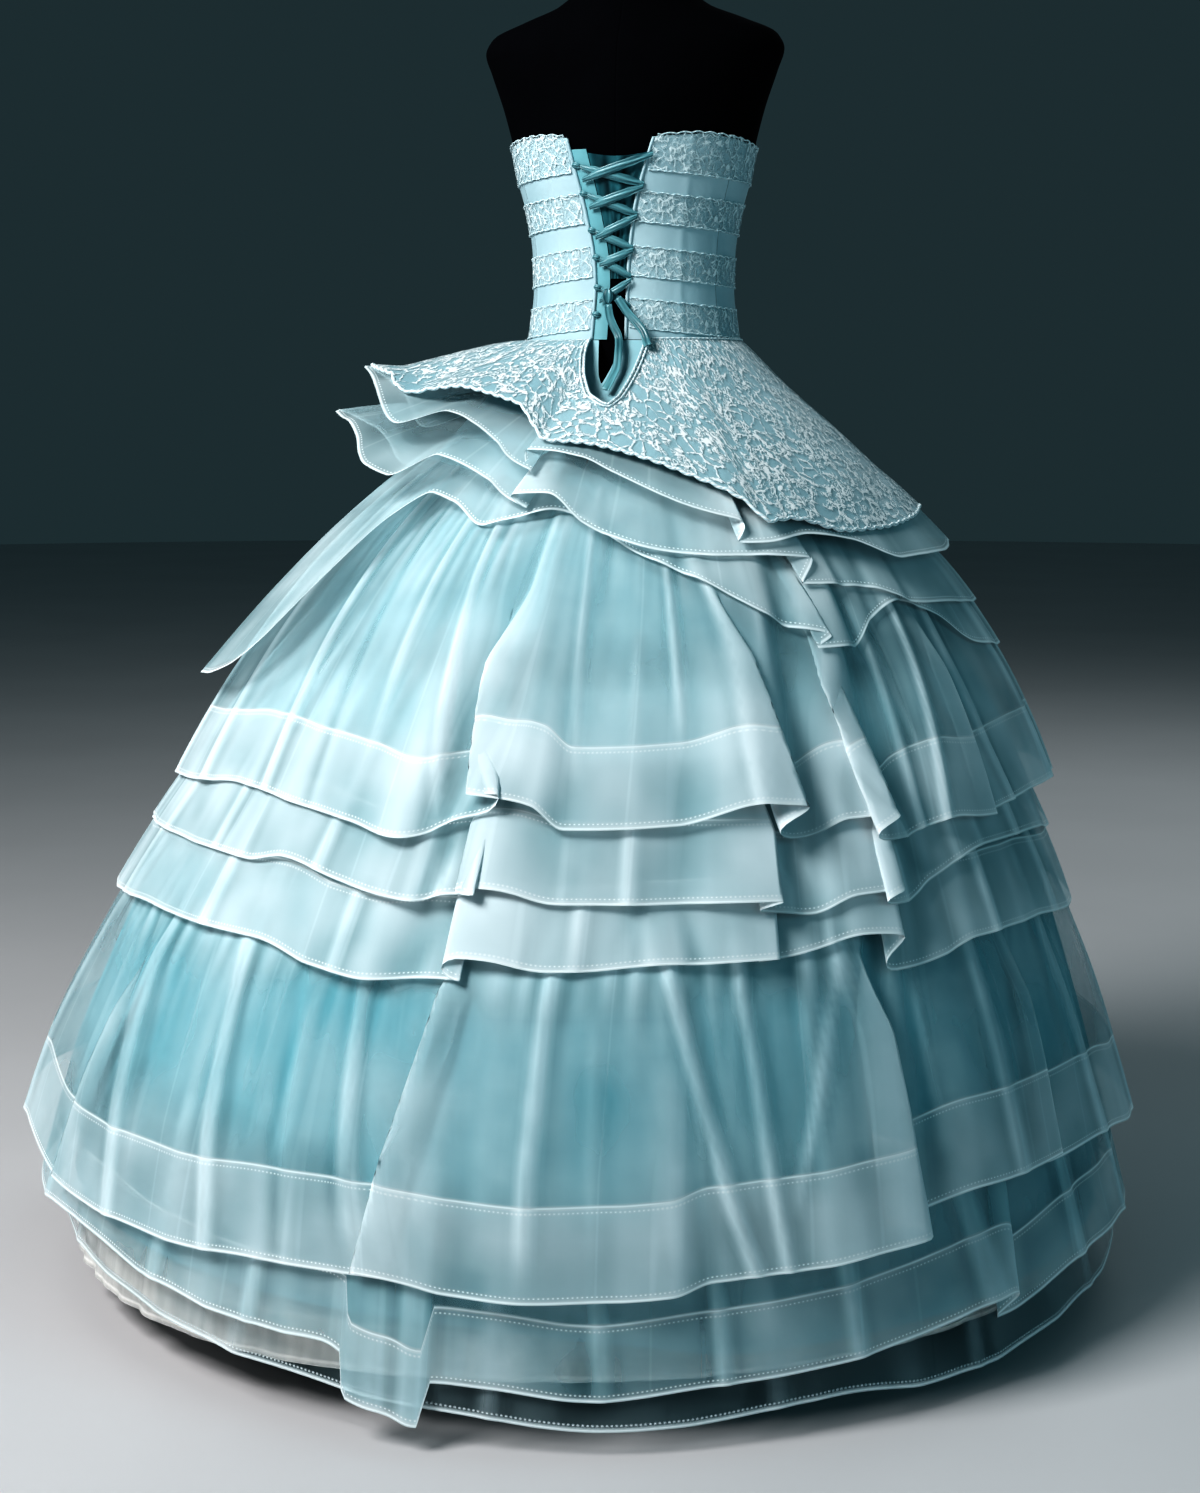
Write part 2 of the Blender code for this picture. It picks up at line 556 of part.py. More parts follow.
# --------------------------------------------------------------------------- bodice
BODICE_FOOT = WAIST + 0.0006
PANEL_ROWS = (1.060, 1.090, 1.130, 1.170, 1.210)
PANEL_STEP = 8.0  # angle between two columns of a panel's points
BACK_PANEL = 46.0  # angle that a back panel takes up
TOP_READ = 1.250  # height at which the lacing gap is read for the panels' top corners
BAND_PARTS = 18
BAND_GAP = 0.3  # angle from the front's centre to a band's end
BAND_MARGIN = 0.001  # how far below the neckline a band may reach


def gap_edge(height, side):
    """The angle of the lacing gap's edge at this height: side 1 is its left, 2 its right."""
    rows = np.array(LACING_GAP)
    return np.interp(height, rows[:, 0], rows[:, side])


def neckline(angle):
    """Height of the bodice's top edge."""
    places, heights = zip(*NECKLINE)
    return np.interp(np.abs((np.asarray(angle) + 180) % 360 - 180), places, heights)


def panel_angles(height, first, last, parts):
    """Angles across a panel at a height. An end is an angle, or the lacing gap's edge."""
    ends = [gap_edge(height, end) if end in (1, 2) else end for end in (first, last)]
    return ends[0] + parts * (ends[1] - ends[0])


def panel_grid(first, last, count, out):
    """The points of one bodice panel, [row, column], standing off the form by this much."""
    parts = np.linspace(0, 1, count + 1)
    rows = [body_point(panel_angles(BODICE_FOOT, first, last, parts), BODICE_FOOT, out)]
    for height in PANEL_ROWS:
        rows.append(body_point(panel_angles(height, first, last, parts), height, out))
    angles = panel_angles(TOP_READ, first, last, parts)
    rows.append(body_point(angles, neckline(angles), out))
    return np.array(rows)


def band_grid(side, lower, out, count):
    """The points of one lace band from the lacing gap round to the front's centre."""
    parts = np.linspace(0, 1, count + 1)
    rows = []
    for height in (lower, lower + BAND_HEIGHT):
        edge = gap_edge(height, side) + (BAND_ENDS[1] if side == 2 else -BAND_ENDS[0])
        angles = edge + parts * ((180 - BAND_GAP) * (1 if side == 2 else -1) - edge)
        drop = BAND_DROP * np.sin(np.radians(np.clip(np.abs(angles), 0, 90)))
        tops = np.minimum(height - drop, neckline(angles) - BAND_MARGIN)
        rows.append(body_point(angles, tops, out))
    return np.array(rows)


def add_bodice():
    """Five satin panels, the lace bands on them and the modesty panel behind the lacing."""
    panels = (
        ("bodice_back_left", -SIDE_BACK_SEAM + SEAM_ANGLE, 1),
        ("bodice_back_right", 2, SIDE_BACK_SEAM - SEAM_ANGLE),
        ("bodice_side_left", -FRONT_SEAM + SEAM_ANGLE, -SIDE_BACK_SEAM - SEAM_ANGLE),
        ("bodice_side_right", SIDE_BACK_SEAM + SEAM_ANGLE, FRONT_SEAM - SEAM_ANGLE),
        ("bodice_front", FRONT_SEAM + SEAM_ANGLE, 360 - FRONT_SEAM - SEAM_ANGLE),
    )
    for name, first, last in panels:
        width = BACK_PANEL if 1 in (first, last) or 2 in (first, last) else last - first
        count = round(width / PANEL_STEP)
        inner = panel_grid(first, last, count, EASE)
        outer = panel_grid(first, last, count, EASE + CLOTH)
        add_wall(name, inner, outer, False, SATIN)
    for number, (lower, room) in enumerate(BANDS):
        for side, word in ((1, "left"), (2, "right")):
            out = EASE + CLOTH + room
            inner = band_grid(side, lower, out, BAND_PARTS)
            outer = band_grid(side, lower, out + LACE, BAND_PARTS)
            add_wall(f"lace_band_{number + 1}_{word}", inner, outer, False, WHITE_LACE)


# --------------------------------------------------------------------------- lacing
PLACKET = 8.5  # angle that the loop strip takes up beside the left panel
PLACKET_GAP = 0.35  # angle between the left panel and the strip
PLACKET_TOP = 1.238
RIBBON = 0.0075  # width of the lacing ribbon
RIBBON_WALL = 0.0011
LOOP_HEIGHTS = (1.221, 1.191, 1.152, 1.123, 1.091, 1.062)
LOOP_SIZE = 0.0055
LOOP_ENDS = (-0.5, 3.6)  # angles of a loop's ends from the lacing gap's left edge
STRAND_ENDS = (4.6, 2.0)  # angles of a strand's ends from the gap's left and right edge
# Heights at the left and right end of each strand, under and over.
UNDER_STRANDS = ((1.219, 1.200), (1.189, 1.168), (1.150, 1.132), (1.121, 1.102), (1.089, 1.070))
OVER_STRANDS = ((1.205, 1.231), (1.176, 1.197), (1.144, 1.166), (1.115, 1.130), (1.076, 1.098))
UNDER_OUT = EASE + CLOTH + 2 * SEAM
OVER_OUT = UNDER_OUT + RIBBON_WALL + SEAM
MODESTY_ROWS = (1.100, 1.130, 1.165, 1.200, 1.234)
MODESTY_WALL = 0.0010
MODESTY_PLEATS = 4
PLEAT_RISE = 0.0006  # how far a pleat of the modesty panel rises off the rest
MODESTY_INSET = 0.5  # angle from the placket and the right edge to the panel
KNOT = ((-4.0, 1.0890, 0.0110), (-4.0, 1.0730, 0.0110))
KNOT_SIZES = ((0.003, 0.002), (0.0075, 0.0036), (0.0085, 0.0042), (0.0075, 0.0036),
              (0.003, 0.002))
# The ribbon's two free tails. Above the waist: angle, height, distance out from the form.
# Below it: angle, level, lift from the skirt.
LONG_TAIL = ((-3.8, 1.0725, 0.0108), (-3.0, 1.0610, 0.0100), (-1.0, 1.0500, 0.0105), (2.0, 1.0370, 0.0125))
LONG_TAIL_BELOW = ((3.0, 1.0150, 0.0110), (3.0, 1.0000, 0.0095), (1.5, 0.9860, 0.0090),
                   (0.0, 0.9740, 0.0095))
SHORT_TAIL = ((1.1, 1.0790, 0.0110), (6.0, 1.0640, 0.0115), (10.5, 1.0530, 0.0145),
              (13.5, 1.0440, 0.0190))
SHORT_TAIL_BELOW = ((15.0, 1.0240, 0.0165), (15.5, 1.0160, 0.0190))
TAIL_HALF = (0.0045, 0.0008)


def strap_grid(first, last, out, width, count):
    """A flat strap between two (angle, height) ends, square to its length on the form."""
    parts = np.linspace(0, 1, count + 1)
    angles = first[0] + parts * (last[0] - first[0])
    heights = first[1] + parts * (last[1] - first[1])
    return np.array([body_point(angles, heights + half, out) for half in (-width / 2, width / 2)])


def add_strap(name, first, last, out, width, wall, finish, count=5):
    """A flat strap of cloth that lies round the form."""
    inner = strap_grid(first, last, out, width, count)
    outer = strap_grid(first, last, out + wall, width, count)
    add_wall(name, inner, outer, False, finish)


def add_placket():
    """The strip that carries the loops, beside the left panel's edge, with its loops."""
    heights = (BODICE_FOOT,) + PANEL_ROWS + (PLACKET_TOP,)
    grids = []
    for out in (EASE, EASE + CLOTH):
        rows = []
        for height in heights:
            edge = gap_edge(height, 1)
            angles = edge + np.linspace(PLACKET_GAP, PLACKET, 3)
            rows.append(body_point(angles, height, out))
        grids.append(np.array(rows))
    add_wall("lacing_placket", grids[0], grids[1], False, PALE_TULLE)
    for number, height in enumerate(LOOP_HEIGHTS):
        edge = gap_edge(height, 1)
        ends = [(edge + end, height) for end in LOOP_ENDS]
        add_strap(f"lacing_loop_{number + 1}", *ends, UNDER_OUT, LOOP_SIZE, RIBBON_WALL, SATIN, 2)


def add_modesty():
    """The soft gathered panel behind the lacing, between the placket and the right edge."""
    parts = np.linspace(0, 1, 2 * MODESTY_PLEATS + 1)
    pleat = 0.5 - 0.5 * np.cos(parts * MODESTY_PLEATS * 2 * np.pi)
    grids = []
    for out in (EASE + 0 * pleat, EASE + MODESTY_WALL + PLEAT_RISE * pleat):
        rows = []
        for height in MODESTY_ROWS:
            first = gap_edge(height, 1) + PLACKET + MODESTY_INSET
            last = gap_edge(height, 2) - MODESTY_INSET
            rows.append(body_point(first + parts * (last - first), height, out))
        grids.append(np.array(rows))
    add_wall("modesty_panel", grids[0], grids[1], False, DARK_RIBBON)


def add_strands():
    """The ribbon's strands across the gap: one set goes under, the other crosses over it."""
    for word, strands, out in (("under", UNDER_STRANDS, UNDER_OUT), ("over", OVER_STRANDS, OVER_OUT)):
        for number, (left, right) in enumerate(strands):
            first = (gap_edge(left, 1) + STRAND_ENDS[0], left)
            last = (gap_edge(right, 2) + STRAND_ENDS[1], right)
            add_strap(f"ribbon_{word}_{number + 1}", first, last, out, RIBBON, RIBBON_WALL,
                      DARK_RIBBON)


def add_tails():
    """The ribbon's knot at the foot of the lacing, and its two free tails."""
    top, foot = (body_point(*row) for row in KNOT)
    knot = top + np.linspace(0, 1, len(KNOT_SIZES))[:, None] * (foot - top)
    add_rod("ribbon_knot", knot, KNOT_SIZES, DARK_RIBBON)
    tails = (("ribbon_tail_long", LONG_TAIL, LONG_TAIL_BELOW),
             ("ribbon_tail_short", SHORT_TAIL, SHORT_TAIL_BELOW))
    for name, above, below in tails:
        path = [body_point(*row) for row in above] + [skirt_point(*row) for row in below]
        add_rod(name, path, TAIL_HALF, DARK_RIBBON, 6)


add_form()
add_skirt()
add_bodice()
add_placket()
add_modesty()
add_strands()
add_tails()
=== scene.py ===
import math

import bpy
import numpy as np
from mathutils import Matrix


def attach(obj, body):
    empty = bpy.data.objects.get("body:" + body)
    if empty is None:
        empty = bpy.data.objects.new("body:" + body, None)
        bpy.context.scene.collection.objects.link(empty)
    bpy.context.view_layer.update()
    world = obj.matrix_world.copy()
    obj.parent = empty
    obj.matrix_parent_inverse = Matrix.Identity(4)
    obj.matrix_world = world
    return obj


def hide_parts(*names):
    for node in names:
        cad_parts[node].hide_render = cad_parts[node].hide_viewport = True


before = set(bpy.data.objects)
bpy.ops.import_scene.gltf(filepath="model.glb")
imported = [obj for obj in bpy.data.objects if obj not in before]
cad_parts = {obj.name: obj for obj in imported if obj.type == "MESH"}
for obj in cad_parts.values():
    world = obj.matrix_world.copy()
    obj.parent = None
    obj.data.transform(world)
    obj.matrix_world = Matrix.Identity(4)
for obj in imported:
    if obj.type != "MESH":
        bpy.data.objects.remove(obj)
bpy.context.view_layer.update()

# ------------------------------------------------------------------------------- camera
# A long lens at waist height behind the gown, a little to the right of the laced back and
# tipped down, as a gown is shown in a studio.
VIEW_ANGLE = math.radians(12.0)
VIEW_TIP = math.radians(8.3)
VIEW_DISTANCE = 2.73
VIEW_HEIGHT = 0.970
VIEW_SIDE = -0.0378

scene = bpy.context.scene
camera = bpy.data.objects.new("camera", bpy.data.cameras.new("camera"))
scene.collection.objects.link(camera)
camera.data.sensor_fit = "VERTICAL"
camera.data.sensor_height = 36.0
camera.data.lens = 57.39
camera.location = (
    VIEW_DISTANCE * math.sin(VIEW_ANGLE) + VIEW_SIDE * math.cos(VIEW_ANGLE),
    -VIEW_DISTANCE * math.cos(VIEW_ANGLE) + VIEW_SIDE * math.sin(VIEW_ANGLE),
    VIEW_HEIGHT,
)
camera.rotation_euler = (math.pi / 2 - VIEW_TIP, 0, VIEW_ANGLE)
scene.camera = camera
scene.view_settings.view_transform = "Standard"
scene.view_settings.look = "Very High Contrast"
# Through so many sheer layers, light is followed for a few bounces only.
scene.cycles.diffuse_bounces, scene.cycles.glossy_bounces, scene.cycles.max_bounces = 2, 1, 4
scene.cycles.use_light_tree = False

# ------------------------------------------------------------- studio: floor and lights
# A pale matt floor, one large soft lamp high on the left of the laced back, a weak one on
# the right and a low one behind.


class Value:
    """One socket of a material's tree. Sums on it add Math nodes to the tree: + - * / and
    abs(), least(other), most(other) and sine(), all of which are added below."""

    def __init__(self, tree, socket):
        self.tree, self.socket = tree, socket

    def sum(self, kind, *others):
        node = self.tree.nodes.new("ShaderNodeMath")
        node.operation = kind
        for socket, given in zip(node.inputs, others):
            if isinstance(given, Value):
                self.tree.links.new(given.socket, socket)
            else:
                socket.default_value = given
        return Value(self.tree, node.outputs[0])

    def held(self, low=0.0, high=1.0):
        """The value, kept between two limits."""
        return self.most(low).least(high)

    def over(self, edge, width):
        """0 below the edge and 1 above it, with a slope of this width."""
        return ((self - edge) / width + 0.5).held()

    def line(self, place, half):
        """1 on a line at this place, falling to 0 at this distance from it."""
        return (1 - abs(self - place) / half).held()


for name, kind in (("__add__", "ADD"), ("__sub__", "SUBTRACT"), ("__mul__", "MULTIPLY"),
                   ("__truediv__", "DIVIDE"), ("least", "MINIMUM"), ("most", "MAXIMUM"),
                   ("__abs__", "ABSOLUTE"), ("sine", "SINE")):
    setattr(Value, name, lambda self, *others, kind=kind: self.sum(kind, self, *others))
for name, kind in (("__radd__", "ADD"), ("__rsub__", "SUBTRACT"), ("__rmul__", "MULTIPLY")):
    setattr(Value, name, lambda self, other, kind=kind: self.sum(kind, other, self))


class Finish:
    """A material and the nodes that make it."""

    def __init__(self, name, **constants):
        self.material = bpy.data.materials.new(name)
        self.material.use_nodes = True
        self.tree = self.material.node_tree
        self.shader = self.tree.nodes["Principled BSDF"]
        for socket, value in constants.items():
            self.shader.inputs[socket.replace("_", " ")].default_value = value

    def node(self, kind, settings, sockets, output=0):
        """A node of this type, its settings, then the values or links of its sockets."""
        made = self.tree.nodes.new("ShaderNode" + kind)
        for key, value in settings.items():
            setattr(made, key, value)
        for key, value in sockets.items():
            if isinstance(value, Value):
                self.tree.links.new(value.socket, made.inputs[key])
            else:
                made.inputs[key].default_value = value
        return Value(self.tree, made.outputs[output])

    def mix(self, low, high, part):
        """A colour between two, by the part."""
        low = low if isinstance(low, Value) else (*low, 1.0)
        high = high if isinstance(high, Value) else (*high, 1.0)
        return self.node("Mix", {"data_type": "RGBA"}, {0: part, 6: low, 7: high}, 2)

    def place(self, scale=(1, 1, 1)):
        """Object coordinates, stretched."""
        here = self.node("TexCoord", {}, {}, "Object")
        return self.node("Mapping", {}, {"Vector": here, "Scale": scale})

    def cut(self, scale=(1, 1, 1)):
        """The piece's own cut in metres, along its hem and up from it, stretched."""
        here = self.node("UVMap", {"uv_map": "cut"}, {})
        return self.node("Mapping", {}, {"Vector": here, "Scale": scale})

    def cut_parts(self):
        """Metres along the hem, and metres up from it."""
        here = self.node("UVMap", {"uv_map": "cut"}, {})
        return [self.node("SeparateXYZ", {}, {0: here}, axis) for axis in "XY"]

    def mark(self, name):
        """One of the piece's own point marks."""
        return self.node("Attribute", {"attribute_name": name}, {}, "Fac")

    def noise(self, where, scale, detail):
        return self.node("TexNoise", {}, {"Vector": where, "Scale": scale, "Detail": detail})

    def set(self, socket, value):
        self.tree.links.new(value.socket, self.shader.inputs[socket])

    def relief(self, height, distance, strength):
        """Raises the surface by this height times the distance."""
        self.set("Normal", self.node("Bump", {}, {"Height": height, "Distance": distance,
                                                  "Strength": strength}))


FLOOR_RADIUS, FLOOR_CORNERS, FLOOR_DROP = 14.0, 96, 0.0004


def add_floor():
    turn = np.arange(FLOOR_CORNERS) * 2 * np.pi / FLOOR_CORNERS
    points = np.stack([FLOOR_RADIUS * np.cos(turn), FLOOR_RADIUS * np.sin(turn),
                       0 * turn - FLOOR_DROP], 1)
    mesh = bpy.data.meshes.new("floor")
    mesh.from_pydata(points.tolist(), [], [tuple(range(FLOOR_CORNERS))])
    floor = bpy.data.objects.new("floor", mesh)
    scene.collection.objects.link(floor)
    finish = Finish("pale_floor", Roughness=0.7)
    cloudy = finish.noise(finish.place(), 1.6, 4.0)
    finish.set("Base Color", finish.mix((0.62, 0.62, 0.63), (0.70, 0.70, 0.71), cloudy))
    mesh.materials.append(finish.material)


def add_lamp(name, place, aim, size, power, colour):
    """A square soft lamp that faces a point."""
    lamp = bpy.data.lights.new(name, "AREA")
    lamp.size, lamp.energy, lamp.color = size, power, colour
    made = bpy.data.objects.new(name, lamp)
    away = np.array(place) - np.array(aim)
    flat = math.hypot(away[0], away[1])
    made.rotation_euler = (math.atan2(flat, away[2]), 0, math.atan2(away[0], -away[1]))
    made.location = place
    scene.collection.objects.link(made)


add_floor()
add_lamp("key_lamp", (-1.9, -2.3, 3.2), (-0.05, 0, 0.80), 1.5, 115, (1.0, 0.97, 0.965))
add_lamp("side_lamp", (2.8, -1.6, 1.6), (0, 0, 0.6), 1.6, 8, (0.35, 0.86, 1.0))
add_lamp("back_lamp", (1.4, 3.4, 3.0), (0.3, 1.2, 0), 2.0, 18, (0.96, 0.99, 1.0))
world = bpy.data.worlds.new("studio")
scene.world = world
world.use_nodes = True
for socket, value in (("Color", (0.50, 0.80, 0.88, 1)), ("Strength", 0.065)):
    world.node_tree.nodes["Background"].inputs[socket].default_value = value

# -------------------------------------------------------------------------- dress form
# A limbless torso covered in close black jersey with a seam down its centre back, on a
# steel pole with a round base. The gown's bodice is worn over it.

# Height, half breadth, half depth at the back and at the front.
BODY = np.array((
    (0.860, 0.140, 0.100, 0.095),
    (0.875, 0.156, 0.110, 0.104),
    (0.920, 0.158, 0.112, 0.104),
    (0.970, 0.146, 0.105, 0.096),
    (1.034, 0.1180, 0.0945, 0.0945),
    (1.060, 0.1140, 0.0920, 0.0940),
    (1.090, 0.1110, 0.0900, 0.0960),
    (1.130, 0.1120, 0.0900, 0.1040),
    (1.170, 0.1175, 0.0920, 0.1150),
    (1.210, 0.1280, 0.0965, 0.1205),
    (1.245, 0.1350, 0.1000, 0.1180),
    (1.290, 0.1470, 0.1000, 0.1050),
    (1.330, 0.1610, 0.0960, 0.0900),
    (1.352, 0.1680, 0.0900, 0.0800),
    (1.368, 0.1600, 0.0790, 0.0710),
    (1.384, 0.1250, 0.0690, 0.0640),
    (1.400, 0.0850, 0.0610, 0.0590),
    (1.420, 0.0630, 0.0575, 0.0560),
    (1.470, 0.0560, 0.0550, 0.0540),
))


def smooth(x, places, values):
    """A cubic curve through the values that never overshoots them: its slope at each is the
    harmonic mean of the slopes on its two sides, or nil where they turn."""
    places, values = np.asarray(places, float), np.asarray(values, float)
    gap = np.diff(places)
    rise = np.diff(values) / gap
    same = rise[:-1] * rise[1:] > 0
    both = np.where(same, rise[:-1] + rise[1:], 1.0)
    slope = np.concatenate(
        [rise[:1], np.where(same, 2 * rise[:-1] * rise[1:] / both, 0.0), rise[-1:]]
    )
    x = np.clip(x, places[0], places[-1])
    k = np.clip(np.searchsorted(places, x, "right") - 1, 0, len(gap) - 1)
    h = gap[k]
    t = (x - places[k]) / h
    return (
        (1 + 2 * t) * (1 - t) ** 2 * values[k]
        + t * (1 - t) ** 2 * h * slope[k]
        + t * t * (3 - 2 * t) * values[k + 1]
        + t * t * (t - 1) * h * slope[k + 1]
    )


def body_point(angle, height, out):
    """A point that stands off the form by this much, level with it. The form's section is
    an oval whose back and front halves have depths of their own."""
    turn = np.radians(angle)
    breadth, back, front = (smooth(height, BODY[:, 0], BODY[:, k]) for k in (1, 2, 3))
    depth = np.where(np.cos(turn) > 0, back, front)
    x = (breadth + out) * np.sin(turn)
    return np.stack([x, -(depth + out) * np.cos(turn), height + 0 * x], -1)


def grid_mesh(name, points, finish, closed=False, cut=None, marks=None):
    """A mesh object from a grid of points, [row, column, xyz], whose rows run downwards and
    columns to the right as seen from outside. A closed one joins its last column to its
    first. The cut is a grid of (along, up) in metres with one more column where closed."""
    rows, columns = points.shape[:2]
    i, j = (each.ravel() for each in np.meshgrid(
        np.arange(rows - 1), np.arange(columns if closed else columns - 1), indexing="ij"))
    right = (j + 1) % columns
    corners = np.stack([i * columns + j, (i + 1) * columns + j,
                        (i + 1) * columns + right, i * columns + right], 1)
    mesh = bpy.data.meshes.new(name)
    mesh.from_pydata(points.reshape(-1, 3).tolist(), [], corners.tolist())
    if cut is not None:
        steps = ((0, 0), (1, 0), (1, 1), (0, 1))
        spread = np.stack([cut[i + down, j + along] for down, along in steps], 1)
        mesh.uv_layers.new(name="cut").data.foreach_set("uv", spread.astype(np.float32).ravel())
    for key, values in (marks or {}).items():
        values = np.broadcast_to(values, (rows, columns)).astype(np.float32)
        mesh.attributes.new(key, "FLOAT", "POINT").data.foreach_set("value", values.ravel())
    mesh.shade_smooth()
    mesh.materials.append(finish.material)
    made = bpy.data.objects.new(name, mesh)
    scene.collection.objects.link(made)
    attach(made, "root")
    return made


def cut_of(points, closed=False):
    """The flat cut that a grid was bent from: metres along its last row, and metres up from
    it along each column."""
    ring = np.concatenate([points, points[:, :1]], 1) if closed else points
    along = np.linalg.norm(np.diff(ring[-1], axis=0), axis=1)
    along = np.concatenate([[0], np.cumsum(along)])
    fall = np.linalg.norm(np.diff(ring, axis=0), axis=2)
    fall = np.concatenate([np.cumsum(fall[::-1], 0)[::-1], np.zeros((1, ring.shape[1]))])
    return np.stack([np.broadcast_to(along, fall.shape), fall], -1)


jersey = Finish("black_jersey", Roughness=0.9, Specular_IOR_Level=0.05)
knit = jersey.noise(jersey.place((1, 1, 0.4)), 900.0, 2.0)
drift = jersey.noise(jersey.place(), 14.0, 3.0)
seam = jersey.node("SeparateXYZ", {}, {0: jersey.place()}, "X").line(0.0, 0.0016)
jersey.set(
    "Base Color",
    jersey.mix((0.003, 0.0035, 0.005), (0.008, 0.009, 0.012), (drift * 0.8 + knit * 0.4).held()),
)
jersey.relief(knit * 0.35 - seam, 0.0008, 0.6)

FORM_TURN = np.arange(128) * 360 / 128
form_heights = np.linspace(BODY[-1, 0], BODY[0, 0], 180)[:, None]
shell = body_point(FORM_TURN[None, :], form_heights, 0.0)


def closing(ring):
    """Rings that close a tube flat: each is its end ring drawn in to the middle, by the sine
    of a part of a quarter turn."""
    parts = np.sin(np.linspace(0.02, 1, 8) * np.pi / 2)[:, None, None]
    centre = np.array([0.0, 0.0, ring[0, 2]])
    return centre + (ring - centre) * parts


torso_points = np.concatenate([closing(shell[0])[:-1], shell, closing(shell[-1])[::-1][1:]])
torso = grid_mesh("form_cover", torso_points, jersey, True)
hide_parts("form_torso")

steel = Finish("black_powder_coat", Coat_Weight=0.2)
grain = steel.noise(steel.place(), 700.0, 3.0)
steel.set("Base Color", steel.mix((0.012, 0.012, 0.013), (0.022, 0.022, 0.024), grain))
steel.set("Roughness", 0.35 + grain * 0.25)
steel.relief(grain, 0.0002, 0.4)
for node in ("form_pole", "form_base"):
    stand = bpy.data.objects[node]
    stand.data.materials.clear()
    stand.data.materials.append(steel.material)

# --------------------------------------------------------------------- satin underskirt
# The bell that carries every other layer: aqua satin gored to the waist, hemmed a hand's
# breadth off the floor, with a short slit below the lacing.

WAIST = 1.034
SEAM = 0.0004  # how far a layer stands off the skirt at its top seam
HEM_LEAN = (-0.050, -0.040)
LEAN_FROM, LEAN_OVER = 0.95, 0.75
FIRST = -78.0  # the angle of the skirt's first column, at its left
FAR_FOLD = FIRST + 180  # the far half of the skirt mirrors the laced one about this angle
FAR_SIDE = 0.85  # how far its far half stands out next to the laced one
# Height, half breadth, half depth of the skirt's own surface.
SKIRT = np.array((
    (1.034, 0.1215, 0.098),
    (0.980, 0.160, 0.142),
    (0.920, 0.214, 0.202),
    (0.850, 0.275, 0.270),
    (0.760, 0.339, 0.339),
    (0.660, 0.397, 0.397),
    (0.560, 0.448, 0.448),
    (0.400, 0.515, 0.515),
    (0.250, 0.557, 0.557),
    (0.020, 0.595, 0.595),
))[::-1]
TILTS = np.arctan2(-np.gradient(SKIRT[:, 1], SKIRT[:, 0]), 1.0)
LEANED = np.clip((LEAN_FROM - SKIRT[:, 0]) / LEAN_OVER, 0, 1)
LEANS = LEANED**2 * (3 - 2 * LEANED)
TURN = np.arange(FIRST, FIRST + 360, 0.45)


def skirt_point(angle, level, lift):
    """A point that stands off the skirt's surface by the lift, square to it. The level is
    the height of the surface under it. The skirt's middle leans as it falls."""
    tilt = np.interp(level, SKIRT[:, 0], TILTS)
    lean = np.interp(level, SKIRT[:, 0], LEANS)
    out = lift * np.cos(tilt)
    turn = np.radians(angle)
    breadth, depth = (smooth(level, SKIRT[:, 0], SKIRT[:, k]) for k in (1, 2))
    x = HEM_LEAN[0] * lean + (breadth + out) * np.sin(turn)
    y = HEM_LEAN[1] * lean - (depth + out) * np.cos(turn)
    return np.stack([x, y, level + lift * np.sin(tilt)], -1)


def around(rows, column, angles, far_scale=1.0):
    """A table's column, read smoothly at these angles. The far half mirrors the laced one."""
    near = [(row[0], row[column]) for row in rows]
    far = [(2 * FAR_FOLD - row[0], row[column] * far_scale)
           for row in rows if FIRST < row[0] < FAR_FOLD]
    places, values = np.array(sorted(near + far), float).T
    places = np.concatenate([places - 360, places, places + 360])
    return smooth((angles - FIRST) % 360 + FIRST, places, np.tile(values, 3))


def ripple(angles, waves, seed):
    """Uneven gathers round the skirt, from -1 to 1: soft troughs between narrow crests, in
    these whole counts, each of which swells and fades by a slower sine and drifts by
    another."""
    turn = np.radians(angles)
    total = 0 * turn
    for k, count in enumerate(waves):
        phase = seed * 1.7 + 2.1 * k
        swell = 0.6 + 0.4 * np.sin(turn * (3 + k) + phase)
        drift = 1.4 * np.sin(turn * (2 + k) + seed)
        trough = np.sin((turn * count + phase + drift) / 2) ** 2
        total = total + swell * (1 - 2 * np.sqrt(trough + 0.012))
    return total / len(waves)


